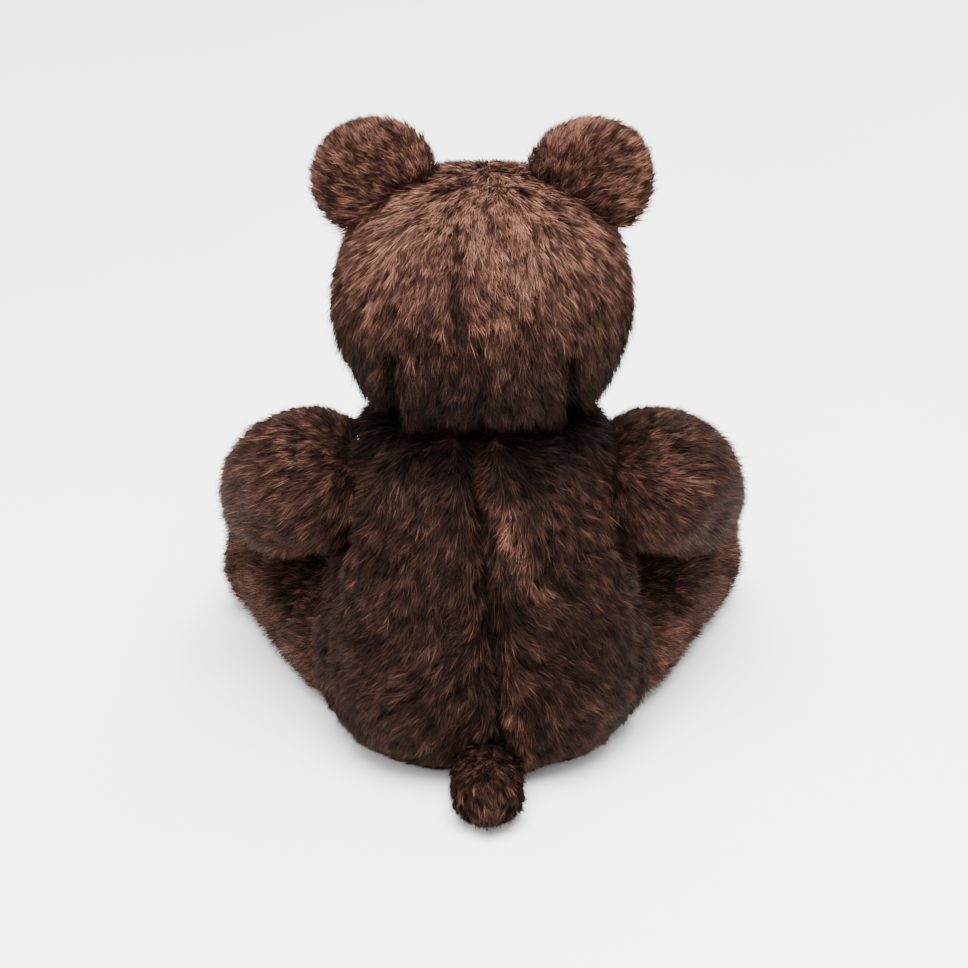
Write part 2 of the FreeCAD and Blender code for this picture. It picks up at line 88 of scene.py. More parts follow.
lens = bpy.data.cameras.new("viewpoint")
lens.lens = LENS_LENGTH
viewpoint = bpy.data.objects.new("viewpoint", lens)
scene.collection.objects.link(viewpoint)
away = Vector((0, math.cos(VIEW_ANGLE), math.sin(VIEW_ANGLE)))
aim(viewpoint, VIEW_TARGET + away * VIEW_DISTANCE, VIEW_TARGET)
scene.camera = viewpoint

soft_panel("overhead_panel", (0.0, 0.45, 1.6), 1.2, 150.0)
soft_panel("back_panel", (0.5, 1.5, 1.3), 0.9, 18.0)
soft_panel("front_panel", (-0.7, -1.3, 1.0), 1.0, 30.0)
surround = bpy.data.worlds.new("bright_surround")
surround.use_nodes = True
background = surround.node_tree.nodes["Background"]
background.inputs["Color"].default_value = (1.0, 1.0, 1.0, 1.0)
background.inputs["Strength"].default_value = SURROUND_STRENGTH
scene.world = surround
print("viewpoint:", [round(value, 3) for value in viewpoint.location])

# %% [markdown]
# ## Materials
# A small node helper keeps each recipe short. Each finish gets its colour, roughness and bump from
# patterns on Object coordinates; the pile reads its own map, which holds a strand's shade across and
# its root-to-tip place upwards.

# %% Node helpers


def add_node(tree, kind, links=None, **settings):
    """Add a node, set its properties, and feed its named inputs with values or sockets."""
    made = tree.nodes.new(kind)
    for key, value in settings.items():
        setattr(made, key, value)
    for key, value in (links or {}).items():
        if isinstance(value, bpy.types.NodeSocket):
            tree.links.new(value, made.inputs[key])
        else:
            made.inputs[key].default_value = value
    return made


def new_material(name):
    """A material with only its Principled shader, and the tree to fill."""
    material = bpy.data.materials.new(name)
    material.use_nodes = True
    tree = material.node_tree
    shader = tree.nodes["Principled BSDF"]
    return material, tree, shader


def colour_ramp(tree, factor, stops):
    """A ramp through the (place, colour) stops."""
    ramp = add_node(tree, "ShaderNodeValToRGB", {"Fac": factor})
    points = ramp.color_ramp.elements
    while len(points) < len(stops):
        points.new(0.5)
    for point, (place, colour) in zip(points, stops):
        point.position = place
        point.color = (*colour, 1.0)
    return ramp.outputs["Color"]


# %% [markdown]
# ### A shared pattern group
# Cloth, cardboard, plastic and metal all need the same thing: a colour that wanders between two
# tones, and a fine height to bump. One group gives both, with its scale and stretch as inputs.

# %% Mottle group


def make_mottle_group():
    """Group that turns object coordinates into a slow tone mask and a fine height."""
    group = bpy.data.node_groups.new("mottled_surface", "ShaderNodeTree")
    for name, start in (("Tone Scale", 40.0), ("Grain Scale", 900.0), ("Stretch", 1.0)):
        socket = group.interface.new_socket(name, in_out="INPUT", socket_type="NodeSocketFloat")
        socket.default_value = start
    group.interface.new_socket("Tone", in_out="OUTPUT", socket_type="NodeSocketFloat")
    group.interface.new_socket("Grain", in_out="OUTPUT", socket_type="NodeSocketFloat")
    given = add_node(group, "NodeGroupInput")
    place = add_node(group, "ShaderNodeTexCoord").outputs["Object"]
    stretch = add_node(group, "ShaderNodeCombineXYZ", {"X": 1.0, "Y": given.outputs["Stretch"], "Z": 1.0})
    pulled = add_node(group, "ShaderNodeVectorMath", {0: place, 1: stretch.outputs[0]},
                      operation="MULTIPLY").outputs[0]
    tone = add_node(group, "ShaderNodeTexNoise",
                    {"Vector": pulled, "Scale": given.outputs["Tone Scale"], "Detail": 4.0})
    grain = add_node(group, "ShaderNodeTexNoise",
                     {"Vector": pulled, "Scale": given.outputs["Grain Scale"], "Detail": 6.0})
    add_node(group, "NodeGroupOutput", {"Tone": tone.outputs[0], "Grain": grain.outputs[0]})
    return group


mottled_surface = make_mottle_group()

# %% Finishes from the shared pattern


def mottled_finish(name, dark, light, rough, tone_scale=40.0, grain_scale=900.0, stretch=1.0,
                   bump=0.2, depth=0.0004, metal=0.0, sheen=0.0, shine=0.5):
    """A finish whose colour, roughness and relief all come from the shared pattern."""
    material, tree, shader = new_material(name)
    pattern = add_node(tree, "ShaderNodeGroup", node_tree=mottled_surface)
    pattern.inputs["Tone Scale"].default_value = tone_scale
    pattern.inputs["Grain Scale"].default_value = grain_scale
    pattern.inputs["Stretch"].default_value = stretch
    colour = colour_ramp(tree, pattern.outputs["Tone"], ((0.35, dark), (0.65, light)))
    tree.links.new(colour, shader.inputs["Base Color"])
    roughness = add_node(tree, "ShaderNodeMapRange", {"Value": pattern.outputs["Grain"],
                                                      "To Min": rough[0], "To Max": rough[1]})
    tree.links.new(roughness.outputs[0], shader.inputs["Roughness"])
    relief = add_node(tree, "ShaderNodeBump", {"Height": pattern.outputs["Grain"],
                                               "Strength": bump, "Distance": depth})
    tree.links.new(relief.outputs[0], shader.inputs["Normal"])
    shader.inputs["Metallic"].default_value = metal
    shader.inputs["Specular IOR Level"].default_value = shine
    shader.inputs["Sheen Weight"].default_value = sheen
    return material


backing_cloth = mottled_finish("plush_backing", (0.012, 0.006, 0.004), (0.030, 0.016, 0.011),
                               (0.85, 1.0), 60.0, 1400.0, bump=0.6, shine=0.1)
lining_cloth = mottled_finish("ear_lining_backing", (0.030, 0.016, 0.011), (0.060, 0.034, 0.024),
                              (0.85, 1.0), 60.0, 1400.0, bump=0.6, shine=0.1)
suede = mottled_finish("suede_pad", (0.060, 0.030, 0.018), (0.105, 0.056, 0.034), (0.80, 0.98),
                       90.0, 2600.0, bump=0.5, depth=0.0005, sheen=0.08, shine=0.12)
fibrefill = mottled_finish("fibrefill", (0.66, 0.65, 0.62), (0.86, 0.85, 0.82), (0.9, 1.0),
                           70.0, 500.0, bump=1.0, depth=0.002)
dark_thread = mottled_finish("waxed_thread", (0.008, 0.005, 0.004), (0.022, 0.015, 0.012),
                             (0.55, 0.75), 300.0, 3000.0, stretch=0.3, bump=0.5, shine=0.15)
moulded_black = mottled_finish("moulded_black_plastic", (0.004, 0.0035, 0.0035), (0.010, 0.008, 0.008),
                               (0.16, 0.30), 25.0, 1800.0, bump=0.04, shine=0.28)
washer_plastic = mottled_finish("white_washer_plastic", (0.62, 0.62, 0.60), (0.78, 0.78, 0.76),
                                (0.4, 0.55), 60.0, 1500.0, bump=0.08)
hardboard = mottled_finish("pressed_hardboard", (0.095, 0.045, 0.022), (0.185, 0.100, 0.055),
                           (0.6, 0.85), 120.0, 2200.0, stretch=2.5, bump=0.4)
zinc_steel = mottled_finish("zinc_plated_steel", (0.36, 0.37, 0.39), (0.58, 0.59, 0.60),
                            (0.24, 0.42), 200.0, 2600.0, stretch=6.0, bump=0.08, metal=1.0)
print("finishes:", len(bpy.data.materials))

# %% [markdown]
# ### Pile
# A strand is dark at its root and lightest at its tip, which a height ramp gives: painted shade at
# the root, where light doesn't reach, and painted light on the tip. The pile shines very little, so
# its highlights stay brown. The map's width holds each strand's own shade, from the dark clumps to
# the light ones.

# %% Pile material


def pile_finish(name, shades, painted_root_shade, roughness, shine):
    """Colour that depends only on the strand's shade (across) and the height along it (up): painted root
    shade, painted tip light.
    """
    material, tree, shader = new_material(name)
    place = add_node(tree, "ShaderNodeUVMap", uv_map="OFBake")
    parts = add_node(tree, "ShaderNodeSeparateXYZ", {0: place.outputs[0]})
    strand = colour_ramp(tree, parts.outputs["X"], shades)
    # painted shade at the root and painted light at the tip, by the height along the strand
    height = colour_ramp(tree, parts.outputs["Y"],
                         ((0.0, (painted_root_shade,) * 3), (0.5, (0.48,) * 3), (1.0, (1.25,) * 3)))
    shaded = add_node(tree, "ShaderNodeMix", {"Factor": 1.0, 6: strand, 7: height},
                      data_type="RGBA", blend_type="MULTIPLY")
    tree.links.new(shaded.outputs[2], shader.inputs["Base Color"])
    shader.inputs["Roughness"].default_value = roughness
    shader.inputs["Specular IOR Level"].default_value = shine
    return material


BROWN_SHADES = ((0.0, (0.0035, 0.0016, 0.0012)), (0.35, (0.015, 0.0066, 0.0045)),
                (0.7, (0.056, 0.0255, 0.0175)), (1.0, (0.205, 0.093, 0.064)))
LINING_SHADES = ((0.0, (0.035, 0.016, 0.011)), (0.5, (0.080, 0.040, 0.027)),
                 (1.0, (0.160, 0.086, 0.060)))
brown_pile = pile_finish("brown_pile", BROWN_SHADES, 0.08, 0.60, 0.04)
lining_pile = pile_finish("short_lining_pile", LINING_SHADES, 0.30, 0.65, 0.05)

# %% Floor


def make_floor():
    """A wide pale floor with a faint grain, which isn't part of the bear."""
    mesh = bpy.data.meshes.new("floor")
    reach = 6.0
    corners = [(-reach, -reach, SEAT_LEVEL), (reach, -reach, SEAT_LEVEL),
               (reach, reach, SEAT_LEVEL), (-reach, reach, SEAT_LEVEL)]
    mesh.from_pydata(corners, [], [(0, 1, 2, 3)])
    floor = bpy.data.objects.new("floor", mesh)
    scene.collection.objects.link(floor)
    mesh.materials.append(mottled_finish("pale_floor", (0.88, 0.88, 0.88), (0.92, 0.92, 0.92),
                                         (0.85, 0.95), 3.0, 60.0, bump=0.02))


make_floor()

# %% [markdown]
# ## Cloth shells
# Each shell is sewn from flat panels and blown out by its stuffing, so it bulges between its seams
# and is pulled in along them. It could be sculpted, but the cloth solver gives the true bulge: the
# frame's shell is turned into an even grid, held along its seams and joint faces, and inflated.

# %% Mesh helpers


def points_of(mesh):
    """All corner places of a mesh, one row each."""
    flat = np.empty(len(mesh.vertices) * 3, np.float32)
    mesh.vertices.foreach_get("co", flat)
    return flat.reshape(-1, 3).astype(float)


def normals_of(mesh):
    """The outward direction at each corner."""
    flat = np.empty(len(mesh.vertices) * 3, np.float32)
    mesh.vertex_normals.foreach_get("vector", flat)
    return flat.reshape(-1, 3).astype(float)


def move_points(mesh, points):
    """Put the corners at new places."""
    mesh.vertices.foreach_set("co", np.asarray(points, np.float32).ravel())
    mesh.update()


def settle(piece):
    """Apply every modifier on a piece, leaving one plain mesh."""
    evaluated = piece.evaluated_get(bpy.context.evaluated_depsgraph_get())
    mesh = bpy.data.meshes.new_from_object(evaluated)
    mesh.name = piece.name
    piece.modifiers.clear()
    piece.data = mesh


def keep_largest_shell(mesh):
    """Remove the small shells that hollows inside the stuffing leave behind."""
    work = bmesh.new()
    work.from_mesh(mesh)
    waiting = set(work.verts)
    shells = []
    while waiting:
        front = [waiting.pop()]
        shell = list(front)
        while front:
            corner = front.pop()
            for edge in corner.link_edges:
                other = edge.other_vert(corner)
                if other in waiting:
                    waiting.remove(other)
                    front.append(other)
                    shell.append(other)
        shells.append(shell)
    shells.sort(key=len)
    for shell in shells[:-1]:
        bmesh.ops.delete(work, geom=shell, context="VERTS")
    bmesh.ops.recalc_face_normals(work, faces=work.faces)
    work.to_mesh(mesh)
    work.free()


def even_shell(name, node_names, grid, shrink):
    """One closed shell round the named frame nodes, on an even grid, a little smaller than they are."""
    work = bmesh.new()
    for node_name in node_names:
        work.from_mesh(frame["nodes"][node_name].data)
    bmesh.ops.remove_doubles(work, verts=work.verts, dist=1e-6)
    mesh = bpy.data.meshes.new(name)
    work.to_mesh(mesh)
    work.free()
    shell = bpy.data.objects.new(name, mesh)
    scene.collection.objects.link(shell)
    remesh = shell.modifiers.new("even grid", "REMESH")
    remesh.mode = "VOXEL"
    remesh.voxel_size = grid
    smooth = shell.modifiers.new("soften edges", "SMOOTH")
    smooth.factor = 0.5
    smooth.iterations = 3
    settle(shell)
    keep_largest_shell(shell.data)
    move_points(shell.data, points_of(shell.data) - normals_of(shell.data) * shrink)
    return shell


# %% Build the shells


def inner_nodes(limb):
    return [f"{limb}_{part}" for part in ("skin", "pad", "stuffing", "joint_disc", "joint_washer")]


TORSO_NODES = ["torso_front_panel", "torso_back_left_panel", "torso_back_right_panel", "torso_stuffing",
               "neck_torso_disc", "shoulder_torso_discs", "hip_torso_discs", "torso_joint_washers"]
HEAD_NODES = ["head_face_panel", "head_back_left_panel", "head_back_right_panel", "head_stuffing",
              "neck_head_disc", "neck_head_washer"]
torso = even_shell("torso_plush", TORSO_NODES, 0.0042, 0.0010)
head = even_shell("head_plush", HEAD_NODES, 0.0040, 0.0010)
left_arm = even_shell("left_arm_plush", inner_nodes("left_arm"), 0.0034, 0.0008)
left_leg = even_shell("left_leg_plush", inner_nodes("left_leg"), 0.0036, 0.0008)
tail = even_shell("tail_plush", ["tail_skin", "tail_stuffing"], 0.0026, 0.0005)
left_ear = even_shell("left_ear_plush", ["left_ear_back", "left_ear_front"], 0.0022, 0.0003)
muzzle = even_shell("muzzle_plush", ["muzzle_skin", "muzzle_stuffing"], 0.0026, 0.0004)
print("shell corners:", {shell.name: len(shell.data.vertices) for shell in
                         (torso, head, left_arm, left_leg, tail, left_ear, muzzle)})

# %% [markdown]
# ### Seams
# Seam lines follow the frame's own panel edges, and the closure and darts are placed where given. Each is
# a distance that both the cloth solver and the pile use: near zero, the cloth is held by its thread,
# and the pile parts, and along the closure and the darts it is darkened with painted shade. The
# closure's distance is signed, so its two sides can differ.

# %% Seam distances
joint_places = {joint["name"]: Vector(joint["pos_m"]) for joint in frame["joints"]}
hip_place = joint_places["left_hip"]
shoulder_place = joint_places["left_shoulder"]
neck_place = joint_places["neck"]
torso_low, torso_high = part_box("torso_stuffing")
head_low, head_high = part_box("head_stuffing")
head_centre = (head_low + head_high) / 2
head_centre.z = head_high.z - (head_high.y - head_low.y) / 2
SIDE_SEAM_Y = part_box("torso_back_left_panel")[0].y
EAR_SEAM_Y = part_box("head_back_left_panel")[0].y
CLOSURE_TOP_X = 0.004
CLOSURE_LOW_X = -0.012
DART_X = 0.037
DART_TOP_Z = head_centre.z - 0.004
CROWN_SEAM_X = 0.010


def closure_distance(places):
    """How far each place lies from the slanting centre-back closure, signed towards the bear's left."""
    share = places[:, 2] / torso_high.z
    return places[:, 0] - (CLOSURE_LOW_X + (CLOSURE_TOP_X - CLOSURE_LOW_X) * share)


def back_closure(places):
    """Unsigned distance to the closure, and far away on the front."""
    return np.where(places[:, 1] > 0, np.abs(closure_distance(places)), 1.0)


def torso_seams(places):
    """Distance to the nearest of the closure and the two side seams."""
    return np.minimum(back_closure(places), np.abs(places[:, 1] - SIDE_SEAM_Y))


def head_darts(places):
    """Distance to the two darts that shape the lower back of the head."""
    below = np.maximum(places[:, 2] - DART_TOP_Z, 0)
    across = np.abs(np.abs(places[:, 0]) - DART_X)
    return np.where(places[:, 1] > 0, np.hypot(across, below), 1.0)


def head_seams(places):
    """Distance to the nearest of the darts, the centre-back seam and the seam from ear to ear."""
    centre = np.where(places[:, 1] > head_centre.y, np.abs(places[:, 0]), 1.0)
    across = np.abs(places[:, 1] - EAR_SEAM_Y)
    return np.minimum(np.minimum(head_darts(places), centre), across)


def near(distance, width):
    """1 on a line, falling smoothly to 0 away from it."""
    return np.exp(-((distance / width) ** 2))


def far_field(places):
    """No seam anywhere near, for shells that are only held at their flats."""
    return np.ones(len(places))


print("side seam at y =", round(SIDE_SEAM_Y, 4), "and ear seam at y =", round(EAR_SEAM_Y, 4))

# %% [markdown]
# ### Inflating
# The solver presses outwards on cloth that is cut a few percent larger than its form, which makes
# the soft lumps and puckers. Seams, joint faces and the seat are held. No corner may end further
# from its start than the pile can hide.

# %% Inflate the shells
PUFF_FRAMES = 20
FURTHEST_PUFF = 0.0055
HELD_WIDTH = 0.0032
LEFT = (1.0, 0.0, 0.0)
RIGHT = (-1.0, 0.0, 0.0)
UP = (0.0, 0.0, 1.0)
DOWN = (0.0, 0.0, -1.0)
BACK = (0.0, 1.0, 0.0)


def held_share(places, seams, flats):
    """1 where the cloth is held, 0 where it is free."""
    held = near(seams(places), HELD_WIDTH)
    for point, direction in flats:
        depth = (places - np.array(point)) @ np.array(direction)
        held = np.maximum(held, np.clip((depth + 0.006) / 0.004, 0, 1))
    return np.clip(held, 0, 1)


def start_puff(shell, seams, flats, pressure, slack):
    """Give a shell its cloth solver, with the held corners in one weight group."""
    held = held_share(points_of(shell.data), seams, flats)
    group = shell.vertex_groups.new(name="held")
    for index, share in enumerate(held):
        if share > 0.02:
            group.add([index], float(share), "REPLACE")
    cloth = shell.modifiers.new("stuffed cloth", "CLOTH")
    cloth.settings.quality = 5
    cloth.settings.mass = 0.15
    cloth.settings.tension_stiffness = 8.0
    cloth.settings.compression_stiffness = 8.0
    cloth.settings.shear_stiffness = 4.0
    cloth.settings.bending_stiffness = 0.3
    cloth.settings.shrink_min = -slack
    cloth.settings.use_pressure = True
    cloth.settings.uniform_pressure_force = pressure
    cloth.settings.vertex_group_mass = "held"
    cloth.settings.effector_weights.gravity = 0.0
    cloth.point_cache.frame_start = 1
    cloth.point_cache.frame_end = PUFF_FRAMES


def end_puff(shell):
    """Keep the puffed form, with each corner's travel capped, and leave a plain mesh."""
    start = points_of(shell.data)
    evaluated = shell.evaluated_get(bpy.context.evaluated_depsgraph_get())
    travel = points_of(evaluated.data) - start
    length = np.linalg.norm(travel, axis=1, keepdims=True) + 1e-9
    kept = FURTHEST_PUFF * np.tanh(length / FURTHEST_PUFF)
    shell.modifiers.clear()
    shell.vertex_groups.clear()
    move_points(shell.data, start + travel / length * kept)
    print(shell.name, "puffed by up to", round(float(kept.max()) * 1000, 1), "mm")


seat = ((0, 0, 0), DOWN)
puffs = (
    (torso, torso_seams, [seat, (neck_place, UP)], 3.0, 0.03),
    (head, head_seams, [(neck_place, DOWN)], 3.0, 0.02),
    (left_arm, far_field, [(shoulder_place, RIGHT)], 2.0, 0.04),
    (left_leg, far_field, [(hip_place, RIGHT), seat], 2.0, 0.03),
    (tail, far_field, [seat], 1.5, 0.03),
)
for puff in puffs:
    start_puff(*puff)
for step in range(1, PUFF_FRAMES + 1):
    scene.frame_set(step)
for puff in puffs:
    end_puff(puff[0])
scene.frame_set(1)

for shell in (torso, head, left_arm, left_leg, tail, left_ear, muzzle):
    finer = shell.modifiers.new("finer cloth", "SUBSURF")
    finer.levels = 1
    finer.render_levels = 1
    settle(shell)

# %% [markdown]
# ### Sewn lines
# A hand-sewn seam pulls the cloth in further than the solver shows on its coarse grid, so the finer
# cloth is drawn in along the closure and the darts, and plumped just beside them.

# %% Draw the seams in


def draw_in(shell, distance, width, depth):
    """Pull the cloth inwards along a line, leaving a low ridge on each side."""
    places = points_of(shell.data)
    gap = distance(places)
    valley = near(gap, width) - 0.35 * near(gap - 2.2 * width, width)
    move_points(shell.data, places - normals_of(shell.data) * (depth * valley)[:, None])


draw_in(torso, back_closure, 0.0045, 0.0036)
draw_in(torso, torso_seams, 0.0030, 0.0012)
draw_in(head, head_darts, 0.0040, 0.0026)
draw_in(head, head_seams, 0.0030, 0.0010)


def mirrored_copy(piece, name):
    """The same piece on the bear's right side."""
    mesh = piece.data.copy()
    mesh.name = name
    places = points_of(mesh)
    places[:, 0] *= -1
    move_points(mesh, places)
    mesh.flip_normals()
    other = bpy.data.objects.new(name, mesh)
    scene.collection.objects.link(other)
    return other


right_arm = mirrored_copy(left_arm, "right_arm_plush")
right_leg = mirrored_copy(left_leg, "right_leg_plush")
right_ear = mirrored_copy(left_ear, "right_ear_plush")

# %% [markdown]
# ## The way the pile lies
# Pile is combed one way: away from the nose and the crown on the head, down and away from the closure
# on the back, and towards the paw or the toes on a limb. That direction, the pile's length and its
# shade, which holds painted light and shade as well as the pile's own tone, are kept on the cloth, so
# that one strand tree can read them anywhere.

# %% Fields on the cloth


def unit(rows):
    """Each row scaled to length 1."""
    return rows / (np.linalg.norm(rows, axis=1, keepdims=True) + 1e-9)


def slow_noise(places, size, seed):
    """Smooth noise between about -1 and 1, with lumps of the size."""
    shift = Vector((seed * 7.31, seed * 3.17, seed * 5.53))
    return np.array([noise.noise(Vector(place) / size + shift) for place in places]) * 1.6


def comb_towards(shell, towards, swirl, seed):
    """Lay a direction onto the surface and turn it here and there by up to the swirl (radians)."""
    places = points_of(shell.data)
    outward = normals_of(shell.data)
    flat = unit(towards - outward * np.sum(towards * outward, axis=1, keepdims=True))
    turn = swirl * (slow_noise(places, 0.022, seed) + 0.5 * slow_noise(places, 0.009, seed + 3))
    side = np.cross(outward, flat)
    return flat * np.cos(turn)[:, None] + side * np.sin(turn)[:, None]


def keep_field(shell, name, values):
    """Store one number or one direction for each corner."""
    kind = "FLOAT_VECTOR" if values.ndim == 2 else "FLOAT"
    field = "vector" if values.ndim == 2 else "value"
    attribute = shell.data.attributes.new(name, kind, "POINT")
    attribute.data.foreach_set(field, values.astype(np.float32).ravel())


def keep_pile(shell, comb, length, shade, thickness):
    """Store the four fields that the strand tree reads."""
    keep_field(shell, "comb", comb)
    keep_field(shell, "pile", length)
    keep_field(shell, "shade", shade)
    keep_field(shell, "thickness", thickness)
    print(shell.name, "pile of", round(float(length.max()) * 1000, 1), "mm at most")


# %% Pile of the torso
TORSO_PILE = 0.0108
TORSO_SHADE = 0.38
NAPE_SHADE_HEIGHT = 0.148
TUFT_SPACING = 0.0062
STRIP_TOP = 0.168
STRIP_FOOT = 0.092
LOWER_STRIP_TOP = 0.070
BARE_AT_JOINT = 0.0025
BARE_AT_FLOOR = 0.0015


def closure_shade(places, side, back):
    """Light tufts in a strip beside the closure with painted shade along an edge next to it, and the upper
    strip's share.
    """
    tufts = 0.65 + 0.35 * np.sin(places[:, 2] * 2 * math.pi / TUFT_SPACING)
    upper_side = side + 0.005 + 0.018 * np.clip((0.166 - places[:, 2]) / 0.065, 0, 1)
    upper = back * np.clip((STRIP_TOP - places[:, 2]) / 0.005, 0, 1)
    upper *= np.clip((places[:, 2] - STRIP_FOOT) / 0.012, 0, 1)
    lower = back * np.clip((LOWER_STRIP_TOP - places[:, 2]) / 0.015, 0, 1)
    light = 0.42 * tufts * (near(upper_side, 0.0050) * upper + near(side + 0.007, 0.0045) * lower)
    # painted shade along the edge of each strip of tufts
    dark = 0.16 * (near(upper_side + 0.009, 0.0035) * upper + near(side + 0.014, 0.0030) * lower)
    return light, dark, near(upper_side, 0.006) * upper


def lay_torso_pile():
    """Comb the torso down and away from the closure, with its joint faces, neck and seat left bare."""
    places = points_of(torso.data)
    side = closure_distance(places)
    back = np.clip(places[:, 1] / 0.03, 0, 1)
    towards = np.zeros_like(places)
    towards[:, 2] = -1.0
    towards[:, 0] = np.sign(places[:, 0]) * 0.25
    spread = np.clip(1.2 - places[:, 2] / 0.14, 0.15, 1.0)
    towards[:, 0] += back * np.sign(side) * 0.75 * spread
    low = np.clip(1 - places[:, 2] / 0.03, 0, 1)
    towards[:, 1] += np.sign(places[:, 1]) * low
    length = TORSO_PILE + 0.0016 * slow_noise(places, 0.02, 1)
    seam = near(torso_seams(places), 0.0030)
    length *= 1 - 0.25 * seam - 0.35 * near(back_closure(places), 0.0022)
    # Painted shade: darker along the closure's parting, and darker above the nape height, under the head
    shade = TORSO_SHADE + 0.07 * slow_noise(places, 0.030, 2) - 0.45 * near(back_closure(places), 0.0026)
    shade -= 0.34 * np.clip((places[:, 2] - NAPE_SHADE_HEIGHT) / 0.018, 0, 1)
    light, dark, strip = closure_shade(places, side, back)
    shade += light
    shade -= dark
    towards[:, 2] += 0.9 * strip
    towards[:, 0] += 0.5 * strip
    thickness = np.ones(len(places))
    for joint, out in ((shoulder_place, 1.0), (shoulder_place, -1.0), (hip_place, 1.0), (hip_place, -1.0)):
        inner = np.abs(places[:, 0] - joint.x * out) < 0.004
        beside = np.hypot(places[:, 1] - joint.y, places[:, 2] - joint.z) < 0.030
        thickness[inner & beside] = 0.0
    length *= np.clip(0.22 + places[:, 2] / 0.045, 0.22, 1.0)
    thickness[places[:, 2] > neck_place.z - BARE_AT_JOINT] = 0.0
    thickness[places[:, 2] < BARE_AT_FLOOR] = 0.0
    keep_pile(torso, comb_towards(torso, towards, 0.55, 4), length, shade, thickness)


lay_torso_pile()

# %% Pile of the head and muzzle
HEAD_PILE = 0.0095
MUZZLE_PILE = 0.0048
CREASE_FOOT = 0.226
CREASE_TOP = 0.268
BARE_ROUND_EYE = 0.0085
BARE_ROUND_NOSE = 0.0075


def middle_of(node_name):
    """The middle of a frame node's box."""
    low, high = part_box(node_name)
    return (np.array(low) + np.array(high)) / 2


def crown_crease(places):
    """The short crease high on the back of the head, a little to its left."""
    crease = near(places[:, 0] - CROWN_SEAM_X, 0.0018) * (places[:, 1] > head_centre.y)
    crease *= np.clip((places[:, 2] - CREASE_FOOT) / 0.012, 0, 1)
    return crease * np.clip((CREASE_TOP - places[:, 2]) / 0.008, 0, 1)


def lay_head_pile():
    """Comb the head away from the crown and the nose, short round the eyes and bare under the muzzle."""
    places = points_of(head.data)
    crown = np.array((0.0, head_centre.y - 0.012, head_high.z))
    nose_tip = np.array((0.0, head_low.y - 0.02, head_centre.z - 0.012))
    from_crown = unit(places - crown)
    from_nose = unit(places - nose_tip)
    front = np.clip((head_centre.y - places[:, 1]) / 0.03, 0, 1)[:, None]
    towards = from_crown * (1 - front) + from_nose * front
    towards[:, 2] -= 0.35 * (1 - front[:, 0])
    length = HEAD_PILE + 0.0013 * slow_noise(places, 0.018, 11)
    length -= 0.0012 * near(np.linalg.norm(places - crown, axis=1), 0.035)
    length -= 0.0025 * front[:, 0]
    cheek = near(places[:, 2] - (head_centre.z - 0.030), 0.022) * np.clip(np.abs(places[:, 0]) / 0.05, 0, 1)
    length += 0.0035 * cheek
    seam = near(head_seams(places), 0.0022)
    length *= 1 - 0.25 * seam
    # Painted light and shade: the head's pile is lighter towards its top, where the light falls, and darker
    # low down over the neck
    height = (places[:, 2] - neck_place.z) / (head_high.z - neck_place.z)
    shade = 0.02 + 0.78 * np.clip(height * 1.15, 0, 1) + 0.07 * slow_noise(places, 0.026, 12)
    crease = crown_crease(places)
    # Painted shade in the two darts and the crown crease
    shade -= 0.50 * near(head_darts(places), 0.0017) + 0.42 * crease
    length *= 1 - 0.30 * crease
    thickness = np.ones(len(places))
    thickness[places[:, 2] < neck_place.z + BARE_AT_JOINT] = 0.0
    muzzle_middle = middle_of("muzzle_skin")
    under_muzzle = np.hypot((places[:, 0] - muzzle_middle[0]) / 0.025,
                            (places[:, 2] - muzzle_middle[2]) / 0.021) < 0.9
    thickness[under_muzzle & (places[:, 1] < head_centre.y)] = 0.0
    for eye in ("left_eye", "right_eye"):
        low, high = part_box(eye)
        middle = np.array(((low.x + high.x) / 2, low.y + 0.005, (low.z + high.z) / 2))
        beside_eye = np.linalg.norm(places - middle, axis=1)
        thickness[beside_eye < BARE_ROUND_EYE] = 0.0
        length *= 1 - 0.55 * near(beside_eye, 0.014)
    keep_pile(head, comb_towards(head, towards, 0.40, 14), length, shade, thickness)


def lay_muzzle_pile():
    """Short pile combed away from the nose, which sits on bare cloth."""
    places = points_of(muzzle.data)
    nose_middle = middle_of("nose")
    from_nose = unit(places - nose_middle)
    beside_nose = np.linalg.norm((places - nose_middle) / np.array((1.35, 1.0, 1.0)), axis=1)
    thickness = np.where(beside_nose < BARE_ROUND_NOSE, 0.0, 1.0)
    length = MUZZLE_PILE + 0.0006 * slow_noise(places, 0.012, 21)
    shade = 0.5 + 0.12 * slow_noise(places, 0.015, 22)
    keep_pile(muzzle, comb_towards(muzzle, from_nose, 0.25, 23), length, shade, thickness)


lay_head_pile()
lay_muzzle_pile()

# %% Pile of the limbs, ears and tail
ARM_PILE = 0.0108
LEG_PILE = 0.0100
ARM_SHADE = 0.47
# Painted light: the legs are set lighter than the arms, to make up for the arms' shadow on them
LEG_SHADE_PAINTED_LIGHTER = 0.58
EAR_PILE = 0.0070
EAR_LINING_PILE = 0.0040
# Painted light: the ears' back pile is set far lighter than the torso's, as lit as the top of the head
EAR_SHADE_PAINTED_LIGHTER = 0.72
TAIL_PILE = 0.0080
TAIL_SHADE = 0.42
PALM_OUT = np.array((-0.322, -0.919, -0.230))
SOLE_OUT = np.array((0.469, -0.883, 0.0))
palm = (middle_of("left_arm_pad"), PALM_OUT, 0.0130, 0.0160)
sole = (middle_of("left_leg_pad"), SOLE_OUT, 0.0155, 0.0250)


def pad_axes(direction):
    """The two directions in which a pad's oval spreads."""
    across = unit(np.cross(direction, (0.0, 0.0, 1.0))[None])[0]
    return across, np.cross(across, direction)


def pad_share(places, outward, centre, direction, half_width, half_height):
    """Below 1 inside the pad's oval, 1 at its rim, and more outside it."""
    across, upright = pad_axes(direction)
    offset = places - centre
    share = np.hypot(offset @ across / half_width, offset @ upright / half_height)
    facing = outward @ direction > 0.1
    ahead = offset @ direction > -0.02
    return np.where(facing & ahead, share, 9.0)


